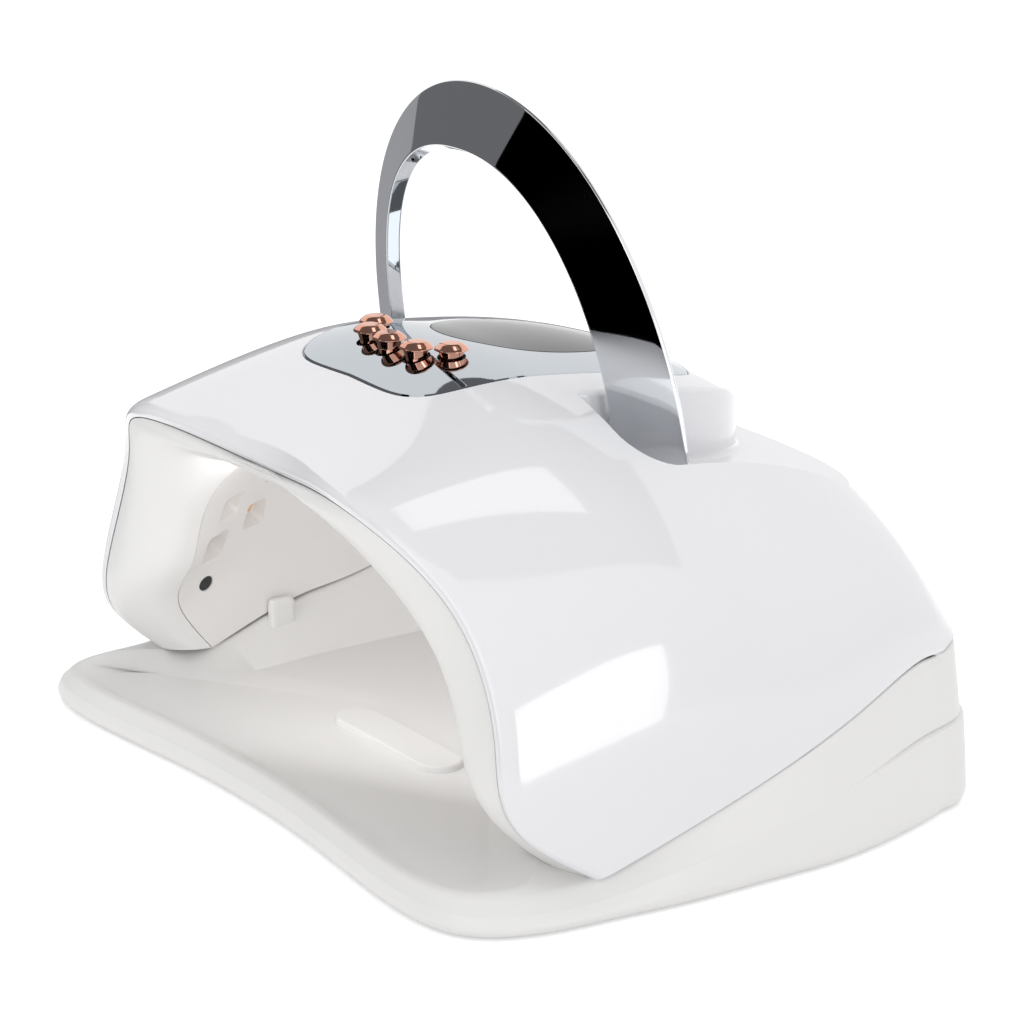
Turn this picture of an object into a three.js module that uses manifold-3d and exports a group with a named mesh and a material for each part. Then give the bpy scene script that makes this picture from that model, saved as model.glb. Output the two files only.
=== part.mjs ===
// A nail lamp on its detachable base plate: an arched hood over a hand cavity,
// a mirror control panel with five buttons, and a conical carrying handle.
// Millimetres, +Z up, the opening faces -Y, the lamp rests on z = 0.
import * as THREE from "three";
import Module from "manifold-3d";
import { mergeVertices } from "three/addons/utils/BufferGeometryUtils.js";

const wasm = await Module();
wasm.setup();

// Driving sizes of the hood.
const hoodHalfWidth = 116.5;
const hoodRise = 119.5; // top of the crown above the table
const hoodFront = 81; // furthest reach of the brow towards the user
const hoodBack = 95; // furthest reach of the rear seam
const shellThickness = 2.6;
const lipSwell = 2.2; // how far the front edge rounds outwards
const lipStation = 0.02;
const lipThickness = 1.4;
const seamGap = 0.3;
const cutOverrun = 4; // how far every cutting shape runs past what it cuts
const bedding = 0.8; // how far joined shapes run into each other

// Front edge of the hood, from the foot to the middle of the brow.
const rimTurnShares = [0, 0.11, 0.3, 0.52, 0.69, 1];
const rimAcrossShares = [0.954, 0.909, 0.859, 0.702, 0.495, 0];
const rimReachShares = [0.565, 0.781, 0.84, 0.874, 1, 0.912];
const rimRiseShares = [0.075, 0.181, 0.388, 0.664, 0.812, 0.795];

// Arches behind the front edge, from the forehead to the rear seam.
const archHalfWidthShares = [0.975, 0.995, 0.98, 0.935, 0.905];
const archFootDepthShares = [-0.22, 0.12, 0.39, 0.61, 0.73];
const archTopDepthShares = [-0.5, -0.06, 0.42, 0.81, 0.985];
const archFootRiseShares = [0.157, 0.25, 0.33, 0.38, 0.384];
const archTopRiseShares = [0.968, 0.992, 0.922, 0.7, 0.392];
const archSquareness = [2.4, 2.15, 2.05, 2.1, 2.3];
const archStationShares = [0, 0.16, 0.4, 0.66, 0.86, 1];
const seamHeight = archTopRiseShares[4] * hoodRise; // rear seam between hood and base

// Inner edge of the bezel, from the foot to the middle.
const mouthAcrossShares = [0.733, 0.729, 0.645, 0.527, 0.302, 0];
const mouthReachShares = [0.622, 0.746, 0.767, 0.793, 0.858, 0.941];
const mouthRiseShares = [0.112, 0.227, 0.368, 0.549, 0.705, 0.779];
const bezelThickness = 1.4;
const bezelSwell = 5;
const bezelReturn = 7;
const bezelRollIn = 1.2;
const bezelSwellShare = 0.22;
const coreShare = 0.4;

// Reflective liner of the hand cavity.
const linerThickness = 1.8;
const linerHalfWidthShares = [0.746, 0.752, 0.746, 0.715, 0.69];
const linerFootDepthShares = [-0.22, 0.06, 0.36, 0.53, 0.6];
const linerTopDepthShares = [-0.4, 0.0, 0.45, 0.7, 0.8];
const linerFootRiseShares = [0.175, 0.21, 0.27, 0.3, 0.31];
const linerTopRiseShares = [0.972, 0.947, 0.896, 0.768]; // shares of the height of the recess floor
const linerSeamShare = 0.804; // rear end of the liner's roof, a share of the seam's height
const linerSquareness = [2.5, 2.5, 2.5, 2.5, 3];

// Panel, display and buttons.
const panelThickness = 1.2;
const panelSeat = 1.4; // depth of the recess that takes the panel
const panelHalfWidth = 38;
const panelFront = 49;
const panelBack = 49;
const displayHalfWidth = 22.5;
const displayHalfLength = 27;
const displayDepth = 10; // middle of the display behind the origin
const displayWindowWidth = 26;
const displayWindowLength = 14;
const fitGap = 0.15;

const boardBelowCrown = 12;
const switchHeight = 3.4;
const standoffAcross = 27;
const standoffFront = 38;
const standoffBack = 30;
const standoffRadius = 3;
const jackAboveSeam = 9.2;
const jackRadius = 4;
const jackCut = 14;
const buttonHeadRadius = 4.65;
const headTopShare = 0.55; // flat top of the double cone
const headUnderShare = 0.9;
const headUnderRise = 0.65;
const neckShare = 1.3; // foot of the head against the stem
const waistShare = 0.52; // widest height of the head
const buttonStemRadius = 2.6;
const buttonTravel = 1.2;
const buttonAcrossShares = [1, 0.61, 0, -0.61, -1];
const buttonReachShares = [0.775, 0.965, 1, 0.965, 0.775];
const buttonSpread = 18.5;
const buttonReach = 34;
const buttonProud = 4.2; // top of a button above the panel

// Handle, its pivot and the recess that takes it when it is folded back.
const handleInnerHalfWidth = 52.3;
const handleInnerRise = 73.6;
const handleOuterHalfWidth = 72.9;
const handleOuterRise = 90.8;
const handleInnerSquareness = 2.29;
const handleOuterSquareness = 2.05;
const handleInnerDepth = 2.2;
const handleOuterDepth = 11.1;
const handleInnerLean = 14.8;
const handleOuterLean = 16.7;
const handleThickness = 4.2;
const handleFootDrop = 4.6;
const handleFootSpan = 0.16;
const lugReach = 14;
const pinHead = 1.5;
const pivotDepth = 7;
const pivotRadius = 2;
const pivotGap = 0.3;
const lugRadius = 4.6;
const lugLength = 5;
const bossHalfWidth = 48;
const bossBack = 70;
const bossFront = 2;
const bossSquareness = 2.5;
const recessHalfWidth = 77;
const recessFront = 6;
const recessCorner = 12;
const deckDrop = 26.1; // recess floor below the rise of the hood, at the middle of the lamp
const deckSlope = 0.14;
const deckRise = hoodRise - deckDrop;
const handleFootLift = 5.4;
const pivotLift = 9.6;
const handleFootRise = deckRise + handleFootLift;
const pivotRise = deckRise + pivotLift;

// Base plate.
const baseFront = 88;
const baseHalfWidth = 120;
const baseBottom = 0.8;
const linerSeat = 0.75; // extra gap below the liner
const swellFade = 30; // distance over which the base edge swells out with the hood
const flareFade = 60; // distance from the foot over which the flare fades
const wallSlope = 12;
const lipInset = 3;
const lipWidth = 2.5;
const lipSlope = 6;
const restFade = 0.14; // turn over which the rest below the bezel ends
const frontFade = 0.5;
const creaseDepth = 0.8;
const creaseStart = 75; // distance from the foot at which the crease of the flank begins
const creaseFade = 35;
// Steps of the flank below the rest: shares of its height, of its inset and of the crease.
const flankSteps = [[0.8, 0.72, 0.5], [0.56, 0.42, 1], [0.5, 0.3, 0]];
const baseEdge = 2.2;
const baseWall = 2.8;
const baseLipRise = 10;
const baseFloor = 7.5;
const baseFloorThickness = 2.4;
const baseFrontTurnShares = [0, 0.1, 0.2, 0.32, 0.44, 0.58, 0.78, 1];
const baseFrontAcrossShares = [0.994, 0.987, 0.953, 0.868, 0.75, 0.6, 0.3, 0];
const baseFrontReachShares = [0.52, 0.67, 0.84, 0.965, 0.997, 0.993, 0.95, 0.932];
const flareAtFoot = 8.3;
const flareAtSide = 5;
const footRubberRadius = 6;
const footRubberHeight = 1.6;
const footAcross = 66;
const footFrontDepth = 60;
const footBackDepth = 48;
const restHalfLength = 27;
const restHalfWidth = 6.5;
const restDepth = 32.5;
const restHeight = 2;

// Light sources behind the liner.
const boardThickness = 1.6;
const beadSize = 4;
const lowRowTurn = 0.27;
const middleRowTurn = 0.41;
const highRowTurn = 0.53;
const roofRowTurn = 1;
const lowPocketDepths = [-45, -30, -6];
const middlePocketDepths = [-43, -26];
const highPocketDepths = [-35];
const roofPocketDepths = [-44, -18, 8];
const pocketDepth = 5;
const pocketLength = 6;
const pocketWidth = 7;
const pocketMouthShare = 1.9;
const pocketWall = 1.2;
const pocketOverlap = 2.5;
const pocketReach = 12;
const stripWidth = 9;
const skinProbe = 0.5; // short step along the liner that gives its slope
const turnProbe = 0.01;
const sensorTurn = 0.14;
const sensorDepth = 45;
const sensorRadius = 2.4;
const sensorLength = 6;
const coverStart = 0.1;
const coverThickness = 2;
const coverFit = 0.8;
const coverDraft = 1.4; // its upper edge leans in with the hood wall
const coverLift = 1.1; // cover above the top of the base wall
const magnetDepth = 45;
const magnetRadius = 5;
const magnetHeight = 2.4;
const tabDepth = -19;
const tabThickness = 2.6;
const tabGap = 0.9;
const tabLength = 8;
const tabRise = 3.5;
const boardMargin = 4;
const screwRadius = 1.2;
const screwHead = 1.4;
const switchSize = 5.4;
const moduleBelow = 1.2;
const jackLength = 9;
const jackFlange = 3;
const jackBody = 6;
const jackBore = 2.8;
const jackPin = 1;
const jackPinShy = 2;

// How finely curved skins, outlines and round parts are divided.
const hoodTurns = 22;
const hoodStations = 10;
const lipShares = [0, 0.3, 1];
const bezelSteps = 3;
const bezelRollSteps = 1;
const baseFrontSteps = 16;
const handleSteps = 26;
const bandShares = [0, 0.1, 0.5, 0.9, 1];
const panelSteps = 15;
const bossSteps = 16;
const cornerSteps = 3;
const roundSides = 14;
const ovalSides = 24;
const screwSides = 8;

const clamp01 = (value) => Math.min(1, Math.max(0, value));
const signedPower = (value, power) => Math.sign(value) * Math.abs(value) ** power;

// Smooth curve through values at rising stations, free at both ends.
function smoothThrough(stations, values) {
  const count = stations.length;
  const bends = new Array(count).fill(0);
  const carry = new Array(count).fill(0);
  for (let i = 1; i < count - 1; i += 1) {
    const before = stations[i] - stations[i - 1];
    const after = stations[i + 1] - stations[i];
    const share = before / (before + after);
    const weight = share * bends[i - 1] + 2;
    const turn = (values[i + 1] - values[i]) / after - (values[i] - values[i - 1]) / before;
    bends[i] = (share - 1) / weight;
    carry[i] = ((6 * turn) / (before + after) - share * carry[i - 1]) / weight;
  }
  for (let i = count - 2; i >= 0; i -= 1) {
    bends[i] = bends[i] * bends[i + 1] + carry[i];
  }
  bends[0] = 0;
  return (at) => {
    let i = 0;
    while (i < count - 2 && at > stations[i + 1]) i += 1;
    const span = stations[i + 1] - stations[i];
    const far = (at - stations[i]) / span;
    const near = 1 - far;
    const pull = ((near ** 3 - near) * bends[i] + (far ** 3 - far) * bends[i + 1]) * span ** 2;
    return near * values[i] + far * values[i + 1] + pull / 6;
  };
}

// Edge curve given by half its outline, mirrored about the middle plane.
function mirroredEdge(turnShares, across, reach, rise) {
  const mirror = (list, sign) => [...list, ...list.slice(0, -1).reverse().map((v) => sign * v)];
  const turns = [...turnShares, ...turnShares.slice(0, -1).reverse().map((v) => 2 - v)];
  const x = smoothThrough(turns, mirror(across, -1));
  const y = smoothThrough(turns, mirror(reach, 1));
  const z = smoothThrough(turns, mirror(rise, 1));
  return (turn) => new THREE.Vector3(x(turn), y(turn), z(turn));
}

// One leaning arch; turn runs from 0 at the right foot over 1 to 2 at the left foot.
function archCurve(halfWidth, footDepth, footRise, topDepth, topRise, squareness) {
  return (turn) => {
    const angle = (turn * Math.PI) / 2;
    const height = Math.abs(Math.sin(angle)) ** (2 / squareness);
    const x = halfWidth * signedPower(Math.cos(angle), 2 / squareness);
    const y = footDepth + (topDepth - footDepth) * height;
    const z = footRise + (topRise - footRise) * height;
    return new THREE.Vector3(x, y, z);
  };
}

// A skin through a front edge and a family of arches behind it.
function domeSkin(frontEdge, arches, stations) {
  const rails = new Map();
  return (turn, station) => {
    if (!rails.has(turn)) {
      const points = [frontEdge(turn), ...arches.map((arch) => arch(turn))];
      const x = smoothThrough(stations, points.map((p) => p.x));
      const y = smoothThrough(stations, points.map((p) => p.y));
      const z = smoothThrough(stations, points.map((p) => p.z));
      rails.set(turn, { x, y, z });
    }
    const rail = rails.get(turn);
    return new THREE.Vector3(rail.x(station), rail.y(station), rail.z(station));
  };
}

const depthOf = (share) => (share < 0 ? share * hoodFront : share * hoodBack);

function familyOfArches(widths, footDepths, topDepths, footRises, topRises, squareness) {
  return widths.map((width, i) => archCurve(
    width * hoodHalfWidth,
    depthOf(footDepths[i]),
    footRises[i] * hoodRise,
    depthOf(topDepths[i]),
    topRises[i],
    squareness[i],
  ));
}

const rimEdge = mirroredEdge(
  rimTurnShares,
  rimAcrossShares.map((share) => share * hoodHalfWidth),
  rimReachShares.map((share) => -share * hoodFront),
  rimRiseShares.map((share) => share * hoodRise),
);
const hoodSkin = domeSkin(
  rimEdge,
  familyOfArches(
    archHalfWidthShares, archFootDepthShares, archTopDepthShares,
    archFootRiseShares, archTopRiseShares.map((share) => share * hoodRise), archSquareness,
  ),
  archStationShares,
);

const evenShares = (count, from = 0, to = 1) =>
  Array.from({ length: count + 1 }, (_, i) => from + ((to - from) * i) / count);

// Directions square to a grid of points, taken from the facets round each point.
function gridNormals(points) {
  const rows = points.length;
  const columns = points[0].length;
  const normals = points.map((row) => row.map(() => new THREE.Vector3()));
  for (let i = 0; i < rows - 1; i += 1) {
    for (let j = 0; j < columns - 1; j += 1) {
      const across = new THREE.Vector3().subVectors(points[i + 1][j], points[i][j + 1]);
      const along = new THREE.Vector3().subVectors(points[i + 1][j + 1], points[i][j]);
      const facet = along.cross(across);
      [[i, j], [i + 1, j], [i, j + 1], [i + 1, j + 1]].forEach(([a, b]) => normals[a][b].add(facet));
    }
  }
  return normals.map((row) => row.map((normal) => normal.normalize()));
}

// A grid of points moved along its normals; depth may change from point to point.
function movedGrid(points, normals, depthAt) {
  return points.map((row, i) => row.map((point, j) =>
    point.clone().addScaledVector(normals[i][j], -depthAt(i, j))));
}

const gridOf = (skin, turns, stations) =>
  turns.map((turn) => stations.map((station) => skin(turn, station)));

// Closed body between two grids of points.
function bodyBetween(outer, inner) {
  const rows = outer.length;
  const columns = outer[0].length;
  const positions = [];
  [outer, inner].forEach((grid) => grid.forEach((row) => row.forEach((p) => {
    positions.push(p.x, p.y, p.z);
  })));
  const at = (side, i, j) => side * rows * columns + i * columns + j;
  const indices = [];
  const quad = (a, b, c, d) => indices.push(a, b, c, a, c, d);
  for (let i = 0; i < rows - 1; i += 1) {
    for (let j = 0; j < columns - 1; j += 1) {
      quad(at(0, i, j), at(0, i, j + 1), at(0, i + 1, j + 1), at(0, i + 1, j));
      quad(at(1, i, j), at(1, i + 1, j), at(1, i + 1, j + 1), at(1, i, j + 1));
    }
  }
  for (let i = 0; i < rows - 1; i += 1) {
    quad(at(0, i, 0), at(0, i + 1, 0), at(1, i + 1, 0), at(1, i, 0));
    const last = columns - 1;
    quad(at(0, i, last), at(1, i, last), at(1, i + 1, last), at(0, i + 1, last));
  }
  for (let j = 0; j < columns - 1; j += 1) {
    quad(at(0, 0, j), at(1, 0, j), at(1, 0, j + 1), at(0, 0, j + 1));
    const last = rows - 1;
    quad(at(0, last, j), at(0, last, j + 1), at(1, last, j + 1), at(1, last, j));
  }
  const geometry = new THREE.BufferGeometry();
  geometry.setAttribute("position", new THREE.Float32BufferAttribute(positions, 3));
  geometry.setIndex(indices);
  return facingOut(geometry);
}

function volumeOf(geometry) {
  const p = geometry.attributes.position;
  const index = geometry.index;
  const a = new THREE.Vector3();
  const b = new THREE.Vector3();
  const c = new THREE.Vector3();
  let sum = 0;
  for (let i = 0; i < index.count; i += 3) {
    a.fromBufferAttribute(p, index.getX(i));
    b.fromBufferAttribute(p, index.getX(i + 1));
    c.fromBufferAttribute(p, index.getX(i + 2));
    sum += a.dot(b.cross(c));
  }
  return sum;
}

function facingOut(geometry) {
  if (volumeOf(geometry) > 0) return geometry;
  const flipped = Array.from(geometry.index.array);
  for (let i = 0; i < flipped.length; i += 3) {
    [flipped[i + 1], flipped[i + 2]] = [flipped[i + 2], flipped[i + 1]];
  }
  geometry.setIndex(flipped);
  return geometry;
}

// Stations from front to rear, closer together at the rounded front lip.
const lipStations = lipShares.map((share) => share * lipStation);
const stations = [...lipStations, ...evenShares(hoodStations, lipStation).slice(1)];
const turns = evenShares(hoodTurns, 0, 2);
const lipRise = (station) =>
  lipSwell * Math.sqrt(Math.max(0, 1 - (1 - clamp01(station / lipStation)) ** 2));

const basicGrid = gridOf(hoodSkin, turns, stations);
const hoodNormals = gridNormals(basicGrid);
const hoodLayer = (depth) => movedGrid(basicGrid, hoodNormals, (i, j) => depth - lipRise(stations[j]));
const outerGrid = hoodLayer(0);
const shellDepth = (station) =>
  lipThickness + (shellThickness - lipThickness) * clamp01(station / lipStation);
const innerGrid = movedGrid(basicGrid, hoodNormals, (i, j) =>
  shellDepth(stations[j]) - lipSwell * clamp01(stations[j] / lipStation));

// Ordinary bodies.
const at = (geometry, x, y, z) => geometry.clone().translate(x, y, z);
const box = (width, depth, height) => new THREE.BoxGeometry(width, depth, height);
const disc = (radius, height, sides = roundSides) => {
  const geometry = new THREE.CylinderGeometry(radius, radius, height, sides);
  return geometry.rotateX(Math.PI / 2);
};
const barAlongX = (radius, length) => {
  const geometry = new THREE.CylinderGeometry(radius, radius, length, roundSides);
  return geometry.rotateZ(Math.PI / 2);
};
function prism(points, from, to) {
  const shape = new THREE.Shape(points);
  const geometry = new THREE.ExtrudeGeometry(shape, { depth: to - from, bevelEnabled: false, steps: 1 });
  return geometry.translate(0, 0, from);
}
function turned(profile) {
  const geometry = new THREE.LatheGeometry(profile.map(([r, h]) => new THREE.Vector2(r, h)), roundSides);
  return geometry.rotateX(Math.PI / 2);
}

function solidOf(geometry) {
  const plain = geometry.clone();
  plain.deleteAttribute("normal");
  plain.deleteAttribute("uv");
  const merged = mergeVertices(plain, 1e-5);
  return new wasm.Manifold(new wasm.Mesh({
    numProp: 3,
    vertProperties: new Float32Array(merged.attributes.position.array),
    triVerts: new Uint32Array(merged.index.array),
  }));
}
function geometryOf(solid) {
  const mesh = solid.getMesh();
  const geometry = new THREE.BufferGeometry();
  const positions = new Float32Array(mesh.numVert * 3);
  for (let i = 0; i < mesh.numVert; i += 1) {
    for (let k = 0; k < 3; k += 1) positions[i * 3 + k] = mesh.vertProperties[i * mesh.numProp + k];
  }
  geometry.setAttribute("position", new THREE.BufferAttribute(positions, 3));
  geometry.setIndex(new THREE.BufferAttribute(new Uint32Array(mesh.triVerts), 1));
  return geometry;
}
const joined = (solids) => solids.reduce((sum, solid) => sum.add(solid));
const without = (solid, cuts) => cuts.reduce((rest, cut) => rest.subtract(cut), solid);

// Height of the hood above a point of the plan.
function hoodHeight(x, y) {
  let best = -Infinity;
  const a = new THREE.Vector3();
  for (let i = 0; i < turns.length - 1; i += 1) {
    for (let j = lipStations.length; j < stations.length - 1; j += 1) {
      const [here, next] = [outerGrid[i], outerGrid[i + 1]];
      const corners = [here[j], next[j], next[j + 1], here[j + 1]];
      for (const [p, q, t] of [[0, 1, 2], [0, 2, 3]]) {
        const [A, B, C] = [corners[p], corners[q], corners[t]];
        const area = (B.x - A.x) * (C.y - A.y) - (C.x - A.x) * (B.y - A.y);
        if (Math.abs(area) < 1e-9) continue;
        const u = ((B.x - x) * (C.y - y) - (C.x - x) * (B.y - y)) / area;
        const v = ((C.x - x) * (A.y - y) - (A.x - x) * (C.y - y)) / area;
        const w = 1 - u - v;
        if (u < -1e-6 || v < -1e-6 || w < -1e-6) continue;
        best = Math.max(best, u * A.z + v * B.z + w * C.z);
      }
    }
  }
  return best;
}

const pieces = [];
function addPiece(name, body, look) {
  pieces.push({ name, body, look });
}
const looks = {
  gloss: [0xf1f2f6, 0.12, 0],
  satin: [0xf1f0ee, 0.45, 0],
  liner: [0xe3e1de, 0.4, 0],
  mirror: [0xd9dde2, 0.05, 1],
  display: [0x4a4d52, 0.1, 0.2],
  copper: [0xd99a86, 0.15, 1],
  rubber: [0x3b3b3d, 0.8, 0],
  steel: [0xb9bbbe, 0.3, 1],
  board: [0xe9e9e2, 0.5, 0],
  green: [0x2f6b45, 0.5, 0],
  bead: [0xf0a868, 0.3, 0],
  dark: [0x1b1b1e, 0.4, 0],
};

// Panel outline: flared front corners, a waist and an oval rear lobe.
const panelAcrossShares = [0, 0.55, 0.86, 0.8, 0.81, 0.97, 1, 0.9, 0.6, 0];
const panelReachShares = [-1, -1.03, -0.96, -0.6, -0.2, 0.15, 0.5, 0.8, 0.95, 1];
function panelOutline(grow) {
  const stationsHere = panelAcrossShares.map((_, i) => i);
  const x = smoothThrough(stationsHere, panelAcrossShares.map((share) => share * panelHalfWidth));
  const y = smoothThrough(stationsHere, panelReachShares.map((share) =>
    (share < 0 ? share * panelFront : share * panelBack)));
  const half = evenShares(panelSteps, 0, panelAcrossShares.length - 1)
    .map((station) => new THREE.Vector2(x(station), y(station)));
  half[0].x = 0;
  half[half.length - 1].x = 0;
  const loop = [...half, ...half.slice(1, -1).reverse().map((p) => new THREE.Vector2(-p.x, p.y))];
  return grownLoop(loop, grow);
}
function grownLoop(loop, grow) {
  return loop.map((point, i) => {
    const before = loop[(i + loop.length - 1) % loop.length];
    const after = loop[(i + 1) % loop.length];
    const along = new THREE.Vector2().subVectors(after, before).normalize();
    return new THREE.Vector2(point.x + along.y * grow, point.y - along.x * grow);
  });
}
const ovalOutline = (halfWidth, halfLength, depth) => evenShares(ovalSides, 0, 2 * Math.PI).slice(0, -1)
  .map((angle) => new THREE.Vector2(halfWidth * Math.cos(angle), depth + halfLength * Math.sin(angle)));
const farAbove = hoodRise * 2;

// Boss between the legs of the folded handle.
function bossOutline(grow) {
  const reach = bossBack - bossFront + grow;
  const wide = bossHalfWidth + grow;
  const front = -recessFront - cutOverrun;
  const back = evenShares(bossSteps, 0, Math.PI).map((angle) => {
    return new THREE.Vector2(
      wide * signedPower(Math.cos(angle), 2 / bossSquareness),
      bossFront + reach * Math.sin(angle) ** (2 / bossSquareness),
    );
  });
  return [new THREE.Vector2(wide, front), ...back, new THREE.Vector2(-wide, front)];
}
function recessOutline(grow) {
  const wide = recessHalfWidth + grow;
  const front = -recessFront - grow;
  const back = hoodBack + cutOverrun + grow;
  const corner = evenShares(cornerSteps, 0, Math.PI / 2).map((angle) => new THREE.Vector2(
    wide - recessCorner + recessCorner * Math.sin(angle),
    front + recessCorner - recessCorner * Math.cos(angle),
  ));
  const right = [...corner, new THREE.Vector2(wide, back)];
  return [...right, ...right.slice().reverse().map((p) => new THREE.Vector2(-p.x, p.y))];
}
// Space above (or below) the sloping recess floor, dropped by a depth.
function deckSpace(drop, above) {
  const front = -recessFront - 3 * cutOverrun;
  const back = hoodBack + 3 * cutOverrun;
  const wide = recessHalfWidth + 3 * cutOverrun;
  const level = (y) => deckRise - deckSlope * y - drop;
  const far = above ? farAbove : -farAbove;
  const side = [
    new THREE.Vector2(front, level(front)),
    new THREE.Vector2(back, level(back)),
    new THREE.Vector2(back, far),
    new THREE.Vector2(front, far),
  ];
  const shape = new THREE.Shape(side);
  const geometry = new THREE.ExtrudeGeometry(shape, { depth: 2 * wide, bevelEnabled: false, steps: 1 });
  geometry.rotateY(Math.PI / 2).rotateX(Math.PI / 2).translate(-wide, 0, 0);
  return geometry;
}

const layerBody = (outerDepth, innerDepth) =>
  solidOf(bodyBetween(hoodLayer(outerDepth), hoodLayer(innerDepth)));
const largest = (solid) => solid.decompose().reduce((a, b) => (a.volume() > b.volume() ? a : b));

// Front bezel: swells out of the shell's lip and rolls into the mouth.
const mouthEdge = mirroredEdge(
  rimTurnShares,
  mouthAcrossShares.map((share) => share * hoodHalfWidth),
  mouthReachShares.map((share) => -share * hoodFront),
  mouthRiseShares.map((share) => share * hoodRise),
);
const forward = new THREE.Vector3(0, -1, 0);
// Middle of the mouth at foot level; the bezel rolls in towards it.
const mouthRoll = (turn, share) => {
  const edge = mouthEdge(turn);
  const inward = new THREE.Vector3(-edge.x, 0, -edge.z).normalize();
  return edge.clone()
    .addScaledVector(forward, -bezelReturn * share)
    .addScaledVector(inward, bezelRollIn * Math.sin((Math.PI / 2) * share));
};
const innerLip = hoodNormals.map((row, i) =>
  basicGrid[i][0].clone().addScaledVector(row[0], -(lipThickness + 2 * fitGap)));
const bezelFace = turns.map((turn, i) => {
  const to = mouthEdge(turn);
  const swell = Math.min(bezelSwell, bezelSwellShare * innerLip[i].distanceTo(to));
  const face = evenShares(bezelSteps).map((t) =>
    innerLip[i].clone().lerp(to, t).addScaledVector(forward, swell * Math.sin(Math.PI * t)));
  return [...face, ...evenShares(bezelRollSteps).slice(1).map((t) => mouthRoll(turn, t))];
});
const bezelNormals = gridNormals(bezelFace);
const bezelLayer = (from, to) => solidOf(bodyBetween(
  movedGrid(bezelFace, bezelNormals, () => -from), movedGrid(bezelFace, bezelNormals, () => -to)));
const bezel = bezelLayer(0, bezelThickness).subtract(
  solidOf(bodyBetween(hoodLayer(-2 * cutOverrun), movedGrid(basicGrid, hoodNormals, (i, j) =>
    shellDepth(stations[j]) + fitGap - lipSwell * clamp01(stations[j] / lipStation)))),
);

// Liner of the hand cavity, an inner dome closed at the rear.
const linerStart = (turn) => mouthRoll(turn, 1).addScaledVector(forward, -seamGap);
const linerTopRises = linerTopRiseShares.map((share) => share * deckRise);
linerTopRises.push(linerSeamShare * seamHeight);
const linerSkin = domeSkin(
  linerStart,
  familyOfArches(
    linerHalfWidthShares, linerFootDepthShares, linerTopDepthShares,
    linerFootRiseShares, linerTopRises, linerSquareness,
  ),
  archStationShares,
);
const linerGrid = gridOf(linerSkin, turns, [0, ...stations.slice(lipShares.length - 1)]);
const linerNormals = gridNormals(linerGrid);
const linerLayer = (outside) => movedGrid(linerGrid, linerNormals, () => -outside);
const linerShell = solidOf(bodyBetween(linerLayer(0), linerLayer(linerThickness)))
  .subtract(bezelLayer(-seamGap, bezelThickness + seamGap).translate([0, bedding, 0]));

// Top shell: outer skin, recess for the handle with the boss left standing, seat of the panel.
const recessPlan = (grow) => solidOf(prism(recessOutline(grow), 0, farAbove))
  .subtract(solidOf(prism(bossOutline(-grow), -cutOverrun, farAbove + cutOverrun)));
const coreGrid = outerGrid.map((row) => row.map((point) =>
  point.clone().multiplyScalar(coreShare)));
const hoodCore = solidOf(bodyBetween(outerGrid, coreGrid));
const recessTray = hoodCore
  .intersect(recessPlan(shellThickness))
  .intersect(solidOf(deckSpace(shellThickness, true)));
const recessVoid = recessPlan(0).intersect(solidOf(deckSpace(0, true)));
const panelPrism = (grow) => solidOf(prism(panelOutline(grow), 0, farAbove));
const ovalPrism = (grow) => solidOf(prism(
  ovalOutline(displayHalfWidth + grow, displayHalfLength + grow, displayDepth), 0, farAbove));

const buttonSpots = buttonAcrossShares.map((share, i) => ({
  x: share * buttonSpread,
  y: -buttonReachShares[i] * buttonReach,
}));
// Underside of a button's head as radius and rise, from its neck to its waist.
const buttonWaist = buttonProud * waistShare;
const buttonUnder = buttonTravel + seamGap;
const headUnderside = [
  [buttonStemRadius * neckShare, buttonUnder],
  [buttonHeadRadius * headUnderShare, buttonUnder + (buttonWaist - buttonUnder) * headUnderRise],
  [buttonHeadRadius, buttonWaist],
];
// A pressed button clears the panel all round the underside of its head.
buttonSpots.forEach((spot) => {
  const levels = headUnderside.flatMap(([radius, rise]) =>
    evenShares(roundSides, 0, 2 * Math.PI).map((angle) => {
      const panel = hoodHeight(spot.x + radius * Math.cos(angle), spot.y + radius * Math.sin(angle));
      return panel - rise + buttonUnder;
    }));
  spot.level = Math.max(...levels);
});
const boardLevel = hoodHeight(0, displayDepth) - boardBelowCrown;
const holeAt = (x, y, radius) => solidOf(at(disc(radius, farAbove), x, y, farAbove / 2));
const buttonHoles = buttonSpots.map(({ x, y }) => holeAt(x, y, buttonStemRadius + seamGap));

// Pivot pins of the handle stand in the side walls of the boss.
const pinInner = bossHalfWidth - shellThickness - pinHead - seamGap;
const pinOuter = bossHalfWidth + seamGap + lugLength;
const pinBar = barAlongX(pivotRadius + fitGap, 2 * (shellThickness + cutOverrun));
const pinHoles = [1, -1].map((side) =>
  solidOf(at(pinBar, side * bossHalfWidth, pivotDepth, pivotRise)));
const standoffSpots = [[-1, -1], [1, -1], [-1, 1], [1, 1]].map(([a, b]) => [
  a * standoffAcross, b < 0 ? -standoffFront : standoffBack]);
const standoffs = standoffSpots.map(([x, y]) => {
  const top = hoodHeight(x, y) - shellThickness + bedding;
  const height = top - boardLevel;
  return solidOf(at(disc(standoffRadius, height), x, y, boardLevel + height / 2));
});
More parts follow.
